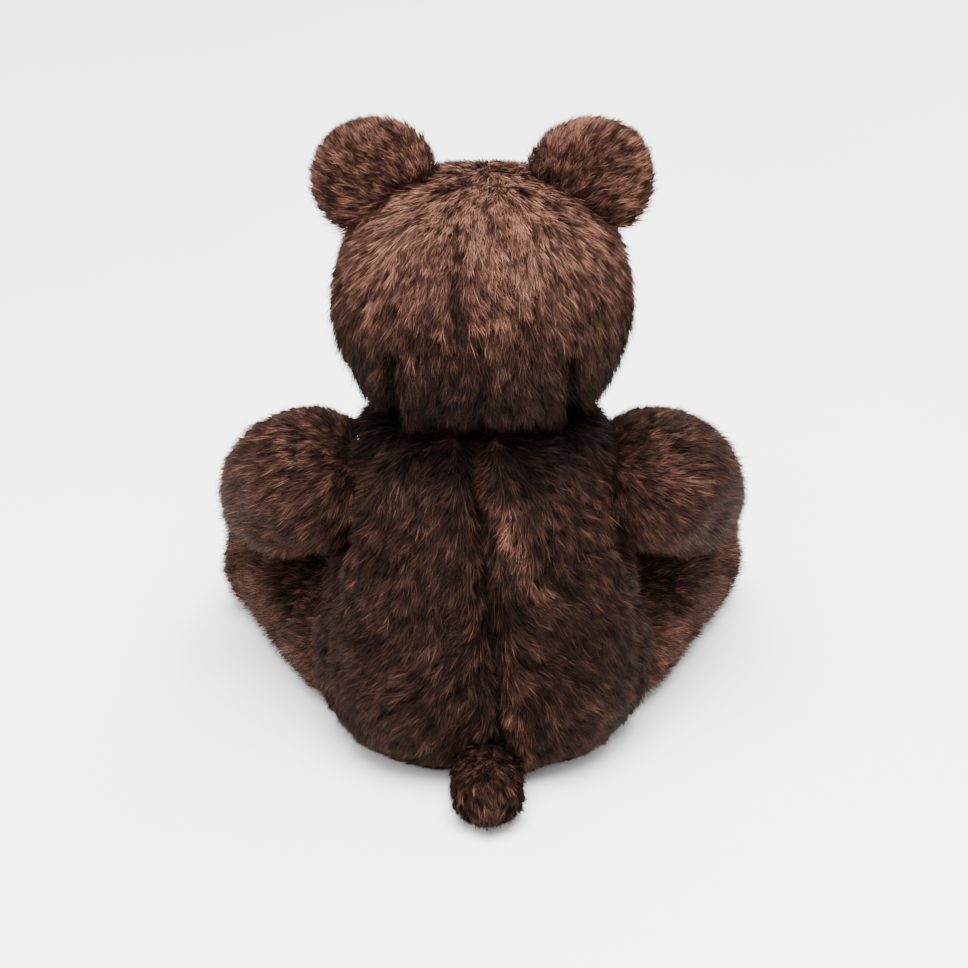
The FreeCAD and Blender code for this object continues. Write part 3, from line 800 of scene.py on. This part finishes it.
def lay_limb_pile(limb, joint, pad, length, tone, seed):
    """Comb a limb outwards at its joint and then towards its far end; pad and joint face stay bare."""
    places = points_of(limb.data)
    outward = normals_of(limb.data)
    mirror = 1.0 if joint.x > 0 else -1.0
    along = pad[0] - np.array(joint)
    reach = np.linalg.norm(along)
    gone = np.clip(np.linalg.norm(places - np.array(joint), axis=1) / reach - 0.25, 0, 1)[:, None]
    outwards = np.array((mirror * 0.9, -0.15, -0.45))
    onwards = unit(along[None]) + np.array((mirror * 0.25, 0.0, -0.3))
    towards = outwards * (1 - gone) + onwards * gone
    pile = length + 0.0014 * slow_noise(places, 0.018, seed)
    pile = pile + 0.0035 * np.clip((np.abs(places[:, 0]) - 0.085) / 0.02, 0, 1)
    on_top = np.clip((places[:, 2] - joint.z - 0.010) / 0.012, 0, 1)
    pile *= 1 - 0.45 * on_top * np.clip((0.100 - np.abs(places[:, 0])) / 0.02, 0, 1)
    shade = tone + 0.07 * slow_noise(places, 0.024, seed + 1)
    thickness = np.ones(len(places))
    thickness[pad_share(places, outward, *pad) < 1.0] = 0.0
    thickness[(places[:, 0] - joint.x) * mirror < BARE_AT_JOINT] = 0.0
    floor_share = np.clip(places[:, 2] / 0.006, 0.35, 1.0)
    keep_pile(limb, comb_towards(limb, towards, 0.45, seed + 2), pile * floor_share, shade, thickness)


def other_side(joint, pad):
    """A joint and a pad of the left side, mirrored to the right."""
    mirror = np.array((-1.0, 1.0, 1.0))
    return Vector((-joint.x, joint.y, joint.z)), (pad[0] * mirror, pad[1] * mirror, *pad[2:])


lay_limb_pile(left_arm, shoulder_place, palm, ARM_PILE, ARM_SHADE, 31)
lay_limb_pile(right_arm, *other_side(shoulder_place, palm), ARM_PILE, ARM_SHADE, 41)
lay_limb_pile(left_leg, hip_place, sole, LEG_PILE, LEG_SHADE_PAINTED_LIGHTER, 51)
lay_limb_pile(right_leg, *other_side(hip_place, sole), LEG_PILE, LEG_SHADE_PAINTED_LIGHTER, 61)


def lay_ear_pile(ear, seed):
    """Long pile on the back and rim, out from the head; short lining in the dish in front."""
    places = points_of(ear.data)
    outward = normals_of(ear.data)
    base = np.array(head_centre)
    towards = unit(places - base)
    towards[:, 1] = 0.0
    dish = outward[:, 1] < -0.55
    low_edge = np.clip((head_high.z + 0.006 - places[:, 2]) / 0.03, 0, 1)
    pile = EAR_PILE + 0.0040 * low_edge + 0.0012 * slow_noise(places, 0.014, seed)
    pile = np.where(dish, EAR_LINING_PILE, pile)
    shade = EAR_SHADE_PAINTED_LIGHTER + 0.07 * slow_noise(places, 0.018, seed + 1)
    inside = np.linalg.norm((places - base)[:, (0, 2)], axis=1) < 0.050
    thickness = np.where(inside, 0.0, 1.0)
    keep_pile(ear, comb_towards(ear, towards, 0.35, seed + 2), pile, shade, thickness)
    keep_field(ear, "lining", dish.astype(float))


def lay_tail_pile():
    """Comb the tail back and a little down, bare where it meets the torso and the floor."""
    places = points_of(tail.data)
    towards = np.tile((0.0, 1.0, -0.25), (len(places), 1))
    pile = TAIL_PILE + 0.0010 * slow_noise(places, 0.014, 81)
    shade = TAIL_SHADE + 0.07 * slow_noise(places, 0.018, 82)
    buried = (places[:, 1] < torso_high.y - 0.004) | (places[:, 2] < BARE_AT_FLOOR)
    thickness = np.where(buried, 0.0, 1.0)
    floor_share = np.clip(places[:, 2] / 0.008, 0.4, 1.0)
    keep_pile(tail, comb_towards(tail, towards, 0.35, 83), pile * floor_share, shade, thickness)


lay_ear_pile(left_ear, 71)
lay_ear_pile(right_ear, 76)
lay_tail_pile()

# %% [markdown]
# ## Strands
# Hundreds of thousands of strands are one small blade placed again and again, which is what Geometry
# Nodes are for. Points are scattered over the cloth with a fixed seed, each blade is turned to the
# combed direction, pulled towards the nearest clump centre, and then made real as one mesh.

# %% The strand tree


def tree_input(tree, name, kind, start):
    """Add a named input, and give back the identifier that a modifier sets it by."""
    socket = tree.interface.new_socket(name, in_out="INPUT", socket_type=kind)
    if start is not None:
        socket.default_value = start
    return socket.identifier


def named(tree, name, kind="FLOAT"):
    """The field of that name on the cloth."""
    reader = add_node(tree, "GeometryNodeInputNamedAttribute", data_type=kind)
    reader.inputs["Name"].default_value = name
    return reader.outputs["Attribute"]


def maths(tree, operation, first, second=0.0):
    return add_node(tree, "ShaderNodeMath", {0: first, 1: second}, operation=operation).outputs[0]


def vectors(tree, operation, first, second=(0, 0, 0)):
    return add_node(tree, "ShaderNodeVectorMath", {0: first, 1: second}, operation=operation).outputs[0]


def scaled(tree, vector, factor):
    return add_node(tree, "ShaderNodeVectorMath", {0: vector, "Scale": factor}, operation="SCALE").outputs[0]


def random_value(tree, seed, low, high):
    """A random number for each strand, from the tree's seed and its own shift."""
    chance = add_node(tree, "FunctionNodeRandomValue", {"Seed": seed}, data_type="FLOAT")
    chance.inputs[2].default_value = low
    chance.inputs[3].default_value = high
    return chance.outputs[1]


def blade_geometry(tree):
    """One strand: a narrow kite of two triangles, 1 high and bent towards +X at its middle."""
    grid = add_node(tree, "GeometryNodeMeshGrid", {"Size X": 1.0, "Size Y": 1.0, "Vertices X": 2,
                                                   "Vertices Y": 3})
    position = add_node(tree, "GeometryNodeInputPosition").outputs[0]
    place = add_node(tree, "ShaderNodeSeparateXYZ", {0: position})
    up = maths(tree, "ADD", place.outputs["Y"], 0.5)
    taper = maths(tree, "MULTIPLY", maths(tree, "MULTIPLY", up, 4.0), maths(tree, "SUBTRACT", 1.0, up))
    across = maths(tree, "MULTIPLY", place.outputs["X"], taper)
    bend = maths(tree, "MULTIPLY", maths(tree, "POWER", up, 2.0), 0.34)
    shaped = add_node(tree, "ShaderNodeCombineXYZ", {"X": bend, "Y": across, "Z": up}).outputs[0]
    marked = add_node(tree, "GeometryNodeStoreNamedAttribute",
                      {"Geometry": grid.outputs["Mesh"], "Name": "across", "Value": place.outputs["X"]})
    marked = add_node(tree, "GeometryNodeStoreNamedAttribute",
                      {"Geometry": marked.outputs[0], "Name": "along", "Value": up})
    moved = add_node(tree, "GeometryNodeSetPosition", {"Geometry": marked.outputs[0], "Position": shaped})
    return add_node(tree, "GeometryNodeMergeByDistance",
                    {"Geometry": moved.outputs[0], "Distance": 0.0001}).outputs[0]


LOWEST_STRAND = 0.0004


def make_strand_tree():
    """The tree that covers cloth with strands, and the identifiers of its inputs."""
    tree = bpy.data.node_groups.new("strands", "GeometryNodeTree")
    tree.interface.new_socket("Cloth", in_out="INPUT", socket_type="NodeSocketGeometry")
    keys = {
        "density": tree_input(tree, "Strands per Square Metre", "NodeSocketFloat", 2.0e6),
        "width": tree_input(tree, "Strand Width", "NodeSocketFloat", 0.0005),
        "rise": tree_input(tree, "Rise", "NodeSocketFloat", 0.6),
        "clump": tree_input(tree, "Clump Size", "NodeSocketFloat", 0.006),
        "pull": tree_input(tree, "Clump Pull", "NodeSocketFloat", 0.6),
        "spread": tree_input(tree, "Spread", "NodeSocketFloat", 0.25),
        "gap": tree_input(tree, "Gap Shade", "NodeSocketFloat", 0.55),
        "seed": tree_input(tree, "Seed", "NodeSocketInt", 1),
        "material": tree_input(tree, "Strand Material", "NodeSocketMaterial", None),
    }
    tree.interface.new_socket("Strands", in_out="OUTPUT", socket_type="NodeSocketGeometry")
    given = add_node(tree, "NodeGroupInput").outputs
    density = maths(tree, "MULTIPLY", given["Strands per Square Metre"], named(tree, "thickness"))
    scatter = add_node(tree, "GeometryNodeDistributePointsOnFaces",
                       {"Mesh": given["Cloth"], "Density": density, "Seed": given["Seed"]})
    place = add_node(tree, "GeometryNodeInputPosition").outputs[0]
    wander = add_node(tree, "ShaderNodeTexNoise", {"Vector": place, "Scale": 170.0, "Detail": 2.0})
    drift = scaled(tree, vectors(tree, "SUBTRACT", wander.outputs["Color"], (0.5, 0.5, 0.5)),
                   maths(tree, "MULTIPLY", given["Clump Size"], 1.6))
    drifted = vectors(tree, "ADD", place, drift)
    cell = add_node(tree, "ShaderNodeTexVoronoi",
                    {"Vector": drifted, "Scale": maths(tree, "DIVIDE", 1.0, given["Clump Size"])})
    to_middle = scaled(tree, vectors(tree, "SUBTRACT", cell.outputs["Position"], drifted),
                       maths(tree, "DIVIDE", given["Clump Pull"], given["Clump Size"]))
    stray = add_node(tree, "FunctionNodeRandomValue", {"Seed": given["Seed"]}, data_type="FLOAT_VECTOR")
    stray.inputs[0].default_value = (-1.0, -1.0, -1.0)
    stray.inputs[1].default_value = (1.0, 1.0, 1.0)
    comb = named(tree, "comb", "FLOAT_VECTOR")
    lean = vectors(tree, "ADD", scaled(tree, scatter.outputs["Normal"], given["Rise"]), comb)
    lean = vectors(tree, "ADD", lean, to_middle)
    lean = vectors(tree, "ADD", lean, scaled(tree, stray.outputs[0], given["Spread"]))
    stand = add_node(tree, "FunctionNodeAlignRotationToVector", {"Vector": lean}, axis="Z")
    face = add_node(tree, "FunctionNodeAlignRotationToVector",
                    {"Rotation": stand.outputs[0], "Vector": comb}, axis="X", pivot_axis="Z")
    twist = random_value(tree, maths(tree, "ADD", given["Seed"], 11.0), -0.9, 0.9)
    turn = add_node(tree, "FunctionNodeAxisAngleToRotation", {"Axis": (0, 0, 1), "Angle": twist})
    turned = add_node(tree, "FunctionNodeRotateRotation",
                      {"Rotation": face.outputs[0], "Rotate By": turn.outputs[0]}, rotation_space="LOCAL")
    uneven = random_value(tree, maths(tree, "ADD", given["Seed"], 23.0), 0.70, 1.15)
    edge = maths(tree, "SUBTRACT", 1.10, maths(tree, "MULTIPLY", cell.outputs["Distance"], 0.35))
    length = maths(tree, "MULTIPLY", maths(tree, "MULTIPLY", named(tree, "pile"), uneven), edge)
    size = add_node(tree, "ShaderNodeCombineXYZ", {"X": length, "Y": given["Strand Width"], "Z": length})
    blades = add_node(tree, "GeometryNodeInstanceOnPoints",
                      {"Points": scatter.outputs["Points"], "Instance": blade_geometry(tree),
                       "Rotation": turned.outputs[0], "Scale": size.outputs[0]})
    jitter = random_value(tree, maths(tree, "ADD", given["Seed"], 37.0), -0.25, 0.25)
    clump_tone = add_node(tree, "ShaderNodeSeparateXYZ", {0: cell.outputs["Color"]}).outputs["X"]
    tone = maths(tree, "ADD", named(tree, "shade"), jitter)
    tone = maths(tree, "ADD", tone, maths(tree, "MULTIPLY", maths(tree, "SUBTRACT", clump_tone, 0.5), 0.34))
    # Gap Shade is painted shade: strands far from their clump's middle, in the gaps between clumps, are
    # darkened
    gap = maths(tree, "MULTIPLY", maths(tree, "SUBTRACT", cell.outputs["Distance"], 0.42), given["Gap Shade"])
    tone = maths(tree, "SUBTRACT", tone, gap)
    tone = add_node(tree, "ShaderNodeClamp", {"Value": tone, "Min": 0.01, "Max": 0.99}).outputs[0]
    toned = add_node(tree, "GeometryNodeStoreNamedAttribute",
                     {"Geometry": scatter.outputs["Points"], "Name": "tone", "Value": tone})
    tree.links.new(toned.outputs[0], blades.inputs["Points"])
    real = add_node(tree, "GeometryNodeRealizeInstances", {"Geometry": blades.outputs[0]})
    spot = add_node(tree, "ShaderNodeSeparateXYZ", {0: place})
    lifted = add_node(tree, "ShaderNodeCombineXYZ",
                      {"X": spot.outputs["X"], "Y": spot.outputs["Y"],
                       "Z": maths(tree, "MAXIMUM", spot.outputs["Z"], LOWEST_STRAND)})
    real = add_node(tree, "GeometryNodeSetPosition",
                    {"Geometry": real.outputs[0], "Position": lifted.outputs[0]})
    across = maths(tree, "MULTIPLY", named(tree, "across"), 0.004)
    column = maths(tree, "ADD", named(tree, "tone"), across)
    map_place = add_node(tree, "ShaderNodeCombineXYZ", {"X": column, "Y": named(tree, "along")})
    mapped = add_node(tree, "GeometryNodeStoreNamedAttribute",
                      {"Geometry": real.outputs[0], "Name": "OFBake", "Value": map_place.outputs[0]},
                      data_type="FLOAT2", domain="CORNER")
    last = mapped.outputs[0]
    for spare in ("across", "along", "tone", "comb", "pile", "shade", "thickness", "lining"):
        last = add_node(tree, "GeometryNodeRemoveAttribute", {"Geometry": last, "Name": spare}).outputs[0]
    finished = add_node(tree, "GeometryNodeSetMaterial",
                        {"Geometry": last, "Material": given["Strand Material"]})
    add_node(tree, "NodeGroupOutput", {0: finished.outputs[0]})
    return tree, keys


strand_tree, strand_keys = make_strand_tree()
print("strand tree:", len(strand_tree.nodes), "nodes")

# %% Grow the pile


def corner_values(mesh, name):
    """The stored number at each corner."""
    values = np.empty(len(mesh.vertices), np.float32)
    mesh.attributes[name].data.foreach_get("value", values)
    return values


def grow(name, shell, chosen, body, material, slot_name, **sizes):
    """Grow strands on the chosen corners of a shell, as one plain mesh that rides on the body."""
    mesh = shell.data.copy()
    thickness = corner_values(mesh, "thickness")
    mesh.attributes["thickness"].data.foreach_set("value", thickness * chosen.astype(np.float32))
    pile = bpy.data.objects.new(name, mesh)
    scene.collection.objects.link(pile)
    grower = pile.modifiers.new("strands", "NODES")
    grower.node_group = strand_tree
    for key, value in sizes.items():
        grower[strand_keys[key]] = value
    grower[strand_keys["material"]] = material
    settle(pile)
    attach(pile, body)
    print(name, len(pile.data.polygons), "faces")


everywhere = {"density": 3.9e6, "width": 0.00036, "rise": 0.66, "clump": 0.0033, "pull": 0.50,
              "spread": 0.24}


def parts_of(shell, rules):
    """Corner masks for the named rules, each a function of place."""
    places = points_of(shell.data)
    return {name: rule(places) for name, rule in rules.items()}


torso_parts = parts_of(torso, {
    "torso_front_left_pile": lambda p: (p[:, 1] < SIDE_SEAM_Y) & (p[:, 0] >= 0),
    "torso_front_right_pile": lambda p: (p[:, 1] < SIDE_SEAM_Y) & (p[:, 0] < 0),
    "torso_back_left_pile": lambda p: (p[:, 1] >= SIDE_SEAM_Y) & (closure_distance(p) >= 0),
    "torso_back_right_pile": lambda p: (p[:, 1] >= SIDE_SEAM_Y) & (closure_distance(p) < 0),
})
head_parts = parts_of(head, {
    "head_face_pile": lambda p: p[:, 1] < EAR_SEAM_Y,
    "head_back_left_pile": lambda p: (p[:, 1] >= EAR_SEAM_Y) & (p[:, 0] >= 0),
    "head_back_right_pile": lambda p: (p[:, 1] >= EAR_SEAM_Y) & (p[:, 0] < 0),
})
seed = 100
for shell, body, parts in ((torso, "torso", torso_parts), (head, "head", head_parts)):
    for name, chosen in parts.items():
        seed += 1
        grow(name, shell, chosen, body, brown_pile, "plush", seed=seed, **everywhere)
for shell, body in ((left_arm, "left_arm"), (right_arm, "right_arm"), (left_leg, "left_leg"),
                    (right_leg, "right_leg"), (tail, "torso")):
    seed += 1
    every_corner = np.ones(len(shell.data.vertices), bool)
    grow(shell.name.replace("_plush", "_pile"), shell, every_corner, body, brown_pile, "plush",
         seed=seed, **{**everywhere, "rise": 0.85})
for ear in (left_ear, right_ear):
    lined = corner_values(ear.data, "lining")
    seed += 1
    grow(ear.name.replace("_plush", "_back_pile"), ear, lined < 0.5, "head", brown_pile, "plush",
         seed=seed, **everywhere)
    grow(ear.name.replace("_plush", "_lining_pile"), ear, lined >= 0.5, "head", lining_pile, "lining",
         seed=seed, **{**everywhere, "rise": 0.9, "clump": 0.003})
grow("muzzle_pile", muzzle, np.ones(len(muzzle.data.vertices), bool), "head", lining_pile, "lining",
     seed=200, **{**everywhere, "rise": 0.6, "clump": 0.003})

# %% [markdown]
# ## The shells take their place
# The puffed cloth under the pile stands for the frame's rigid shell, and rides on the same body.

# %% Place the shells
FIELDS = ("comb", "pile", "shade", "thickness", "lining")


def place_shell(shell, body, material, nodes):
    """Finish a shell, drop its fields, and let it stand for its frame nodes."""
    shell.data.materials.clear()
    shell.data.materials.append(material)
    for name in FIELDS:
        if name in shell.data.attributes:
            shell.data.attributes.remove(shell.data.attributes[name])
    shell.data.shade_smooth()
    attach(shell, body)
    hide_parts(*nodes)


place_shell(torso, "torso", backing_cloth,
            ["torso_front_panel", "torso_back_left_panel", "torso_back_right_panel"])
place_shell(head, "head", backing_cloth,
            ["head_face_panel", "head_back_left_panel", "head_back_right_panel"])
for shell, body, fill in ((left_arm, "left_arm", 0.7), (right_arm, "right_arm", 0.7),
                          (left_leg, "left_leg", 0.75), (right_leg, "right_leg", 0.75)):
    place_shell(shell, body, backing_cloth, [f"{body}_skin"])
place_shell(tail, "torso", backing_cloth, ["tail_skin"])
for ear, name in ((left_ear, "left_ear"), (right_ear, "right_ear")):
    place_shell(ear, "head", backing_cloth, [f"{name}_back", f"{name}_front"])
place_shell(muzzle, "head", lining_cloth, ["muzzle_skin"])

# %% [markdown]
# ## Pads
# Each palm and sole is an oval of suede let into the pile. It has to lie on the puffed cloth, so an
# oval grid is dropped onto the limb along the pad's own direction, crowned, and tucked in at its edge.

# %% Drop the pads onto the limbs
PAD_RINGS = 14
PAD_STEPS = 56
SUEDE_THICKNESS = 0.0012


def on_limb(limb, place, direction):
    """Where a straight line in through the place first meets the limb, and the way out from there."""
    start = Vector(place + direction * 0.08)
    spot, outward = limb.ray_cast(start, -Vector(direction).normalized())[1:3]
    return np.array(spot), np.array(outward)


def make_pad(limb, name, centre, direction, half_width, half_height):
    """An oval of suede that follows the limb, a little proud in the middle and tucked in at the rim."""
    across, upright = pad_axes(direction)
    corners = []
    for ring in range(PAD_RINGS + 1):
        share = ring / PAD_RINGS
        proud = 0.0010 - 0.0018 * share ** 6
        for step in range(PAD_STEPS if ring else 1):
            angle = 2 * math.pi * step / PAD_STEPS
            place = centre + across * (share * half_width * math.cos(angle))
            place = place + upright * (share * half_height * math.sin(angle))
            spot, outward = on_limb(limb, place, direction)
            corners.append(spot + outward * proud)
    faces = [(0, 1 + (step + 1) % PAD_STEPS, 1 + step) for step in range(PAD_STEPS)]
    for ring in range(1, PAD_RINGS):
        inner = 1 + (ring - 1) * PAD_STEPS
        outer = inner + PAD_STEPS
        for step in range(PAD_STEPS):
            after = (step + 1) % PAD_STEPS
            faces.append((inner + step, inner + after, outer + after, outer + step))
    mesh = bpy.data.meshes.new(name)
    mesh.from_pydata([tuple(corner) for corner in corners], [], faces)
    pad = bpy.data.objects.new(name, mesh)
    scene.collection.objects.link(pad)
    if sum((face.normal.dot(Vector(direction)) for face in mesh.polygons)) < 0:
        mesh.flip_normals()
    thick = pad.modifiers.new("suede thickness", "SOLIDIFY")
    thick.thickness = SUEDE_THICKNESS
    settle(pad)
    pad.data.shade_smooth()
    return pad


def place_piece(piece, body, material, slot_name, *nodes):
    """Finish a piece, put it on its body, and let it stand for the nodes."""
    piece.data.materials.clear()
    piece.data.materials.append(material)
    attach(piece, body)
    if nodes:
        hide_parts(*nodes)
    print(piece.name, len(piece.data.polygons), "faces")


bpy.context.view_layer.update()
left_palm = make_pad(left_arm, "left_arm_suede", *palm)
left_sole = make_pad(left_leg, "left_leg_suede", *sole)
place_piece(mirrored_copy(left_palm, "right_arm_suede"), "right_arm", suede, "suede", "right_arm_pad")
place_piece(mirrored_copy(left_sole, "right_leg_suede"), "right_leg", suede, "suede", "right_leg_pad")
place_piece(left_palm, "left_arm", suede, "suede", "left_arm_pad")
place_piece(left_sole, "left_leg", suede, "suede", "left_leg_pad")

# %% [markdown]
# ## Hand stitches
# The closure is laced with ladder stitches, the same short thread again and again along a line, so
# one small tree places them: it spaces points on the line and sets a bent thread across each.

# %% The stitch tree


def make_stitch_tree():
    """The tree that sets bent threads along a line, and the identifiers of its inputs."""
    tree = bpy.data.node_groups.new("stitches", "GeometryNodeTree")
    tree.interface.new_socket("Line", in_out="INPUT", socket_type="NodeSocketGeometry")
    keys = {
        "count": tree_input(tree, "Stitch Count", "NodeSocketInt", 22),
        "length": tree_input(tree, "Stitch Length", "NodeSocketFloat", 0.005),
        "radius": tree_input(tree, "Thread Radius", "NodeSocketFloat", 0.0005),
        "material": tree_input(tree, "Thread Material", "NodeSocketMaterial", None),
    }
    tree.interface.new_socket("Stitches", in_out="OUTPUT", socket_type="NodeSocketGeometry")
    given = add_node(tree, "NodeGroupInput").outputs
    line = add_node(tree, "GeometryNodeMeshToCurve", {"Mesh": given["Line"]})
    spaced = add_node(tree, "GeometryNodeResampleCurve",
                      {"Curve": line.outputs[0], "Count": given["Stitch Count"]})
    half = maths(tree, "MULTIPLY", given["Stitch Length"], 0.5)
    sunk = maths(tree, "MULTIPLY", given["Thread Radius"], -1.5)
    bent = add_node(tree, "GeometryNodeCurveQuadraticBezier", {
        "Resolution": 6,
        "Start": add_node(tree, "ShaderNodeCombineXYZ",
                          {"X": maths(tree, "MULTIPLY", half, -1.0), "Z": sunk}).outputs[0],
        "Middle": add_node(tree, "ShaderNodeCombineXYZ",
                           {"Z": maths(tree, "MULTIPLY", given["Thread Radius"], 4.0)}).outputs[0],
        "End": add_node(tree, "ShaderNodeCombineXYZ", {"X": half, "Z": sunk}).outputs[0],
    })
    profile = add_node(tree, "GeometryNodeCurvePrimitiveCircle",
                       {"Resolution": 6, "Radius": given["Thread Radius"]})
    thread = add_node(tree, "GeometryNodeCurveToMesh",
                      {"Curve": bent.outputs[0], "Profile Curve": profile.outputs[0], "Fill Caps": True})
    across = add_node(tree, "FunctionNodeAlignRotationToVector",
                      {"Vector": named(tree, "across_line", "FLOAT_VECTOR")}, axis="X")
    stood = add_node(tree, "FunctionNodeAlignRotationToVector",
                     {"Rotation": across.outputs[0], "Vector": named(tree, "out_of_cloth", "FLOAT_VECTOR")},
                     axis="Z", pivot_axis="X")
    placed = add_node(tree, "GeometryNodeInstanceOnPoints",
                      {"Points": spaced.outputs[0], "Instance": thread.outputs[0],
                       "Rotation": stood.outputs[0]})
    real = add_node(tree, "GeometryNodeRealizeInstances", {"Geometry": placed.outputs[0]})
    finished = add_node(tree, "GeometryNodeSetMaterial",
                        {"Geometry": real.outputs[0], "Material": given["Thread Material"]})
    add_node(tree, "NodeGroupOutput", {0: finished.outputs[0]})
    return tree, keys


stitch_tree, stitch_keys = make_stitch_tree()

# %% Lace the closure
CLOSURE_LOW_Z = torso_high.z * 0.17
CLOSURE_HIGH_Z = torso_high.z * 0.87
LINE_STEPS = 40


def sew(name, line, across, outward, body, nodes, **sizes):
    """Stitches along a line of places, as one plain mesh that rides on the body."""
    mesh = bpy.data.meshes.new(name)
    mesh.from_pydata([tuple(place) for place in line], [(n, n + 1) for n in range(len(line) - 1)], [])
    stitches = bpy.data.objects.new(name, mesh)
    scene.collection.objects.link(stitches)
    keep_field(stitches, "across_line", np.tile(across, (len(line), 1)))
    keep_field(stitches, "out_of_cloth", np.tile(outward, (len(line), 1)))
    sewer = stitches.modifiers.new("stitches", "NODES")
    sewer.node_group = stitch_tree
    for key, value in sizes.items():
        sewer[stitch_keys[key]] = value
    sewer[stitch_keys["material"]] = dark_thread
    settle(stitches)
    for spare in ("across_line", "out_of_cloth"):
        if spare in stitches.data.attributes:
            stitches.data.attributes.remove(stitches.data.attributes[spare])
    stitches.data.shade_smooth()
    place_piece(stitches, body, dark_thread, "thread", *nodes)


closure_line = []
for step in range(LINE_STEPS + 1):
    height = CLOSURE_LOW_Z + (CLOSURE_HIGH_Z - CLOSURE_LOW_Z) * step / LINE_STEPS
    x = CLOSURE_LOW_X + (CLOSURE_TOP_X - CLOSURE_LOW_X) * height / torso_high.z
    closure_line.append(on_limb(torso, np.array((x, 0.06, height)), np.array(BACK))[0])
sew("closure_stitches", closure_line, LEFT, BACK, "torso", ["back_closure_stitches"],
    count=22, length=0.0048, radius=0.00045)

# %% [markdown]
# ## Nose
# A moulded nose is a rounded triangle, broad above, with two shallow nostrils. It starts as an even
# ball of faces, which is pressed into that shape corner by corner.

# %% Mould the nose
NOSE_HALF_SIZES = (0.0118, 0.0072, 0.0078)
NOSTRIL_DEPTH = 0.0022
GROOVE_DEPTH = 0.0008


def make_nose():
    """One ball of faces pressed into a nose, a millimetre proud of the frame's plain one."""
    middle = middle_of("nose") + np.array((0.0, -0.001, 0.0))
    work = bmesh.new()
    bmesh.ops.create_icosphere(work, subdivisions=5, radius=1.0)
    mesh = bpy.data.meshes.new("moulded_nose")
    work.to_mesh(mesh)
    work.free()
    ball = points_of(mesh)
    narrowed = 1 - 0.42 * np.clip(-ball[:, 2], 0, 1) ** 1.2
    shaped = ball * np.array(NOSE_HALF_SIZES)
    shaped[:, 0] *= narrowed
    shaped[:, 2] -= 0.0010 * ball[:, 0] ** 2
    for side in (-1, 1):
        nostril = np.hypot(ball[:, 0] - side * 0.40, (ball[:, 2] + 0.28) * 1.3)
        dent = near(nostril, 0.20) * (ball[:, 1] < 0)
        shaped[:, 1] += NOSTRIL_DEPTH * dent
    groove = near(ball[:, 0], 0.07) * np.clip(-ball[:, 2], 0, 1) * (ball[:, 1] < 0)
    shaped[:, 1] += GROOVE_DEPTH * groove
    move_points(mesh, shaped + middle)
    mesh.shade_smooth()
    nose = bpy.data.objects.new("moulded_nose", mesh)
    scene.collection.objects.link(nose)
    place_piece(nose, "head", moulded_black, "black_plastic", "nose")


make_nose()

# %% [markdown]
# ## Stuffing
# Under each shell is a wad of fibrefill. It follows the puffed cloth a few millimetres in, so each wad
# is a copy of its shell, thinned because it is hidden, then drawn inwards and made lumpy.

# %% Fill the shells
WAD_DEPTH = 0.0040
WAD_LUMPS = 0.0006
WAD_SHARE = 0.5


def fill_shell(shell, node_name, body, seed):
    """A lumpy wad just inside a shell, in place of the frame's rigid one."""
    mesh = shell.data.copy()
    name = node_name.replace("stuffing", "wad")
    wad = bpy.data.objects.new(name, mesh)
    scene.collection.objects.link(wad)
    soften = wad.modifiers.new("soften", "SMOOTH")
    soften.factor = 0.5
    soften.iterations = 4
    thin = wad.modifiers.new("thin", "DECIMATE")
    thin.ratio = WAD_SHARE
    settle(wad)
    places = points_of(wad.data)
    lumps = WAD_LUMPS * slow_noise(places, 0.006, seed)
    move_points(wad.data, places - normals_of(wad.data) * (WAD_DEPTH + lumps)[:, None])
    wad.data.materials.clear()
    wad.data.materials.append(fibrefill)
    wad.data.shade_smooth()
    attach(wad, body)
    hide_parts(node_name)


FILLED = ((torso, "torso"), (head, "head"), (left_arm, "left_arm"), (right_arm, "right_arm"),
          (left_leg, "left_leg"), (right_leg, "right_leg"), (tail, "torso"), (muzzle, "head"))
for number, (shell, body) in enumerate(FILLED):
    fill_shell(shell, shell.name.replace("plush", "stuffing"), body, 300 + number)
print("wads:", len(FILLED))

# %% [markdown]
# ## Small hard pieces and thread
# Bolts, nuts, washers, discs, eyes and the mouth's threads keep the frame's own shapes, so they only
# get their finishes. The nodes that other pieces stand for get one too, though they are hidden.

# %% Finish the frame's pieces
FINISHES = (
    ("stuffing", fibrefill), ("stitches", dark_thread), ("threads", dark_thread),
    ("eye_washers", washer_plastic), ("_eye", moulded_black), ("nose", moulded_black),
    ("_disc", hardboard), ("washer", zinc_steel), ("bolt", zinc_steel), ("nut", zinc_steel),
    ("_pad", suede), ("", backing_cloth),
)
for name, node in frame["nodes"].items():
    finish = next(material for words, material in FINISHES if words in name)
    node.data.materials.clear()
    node.data.materials.append(finish)
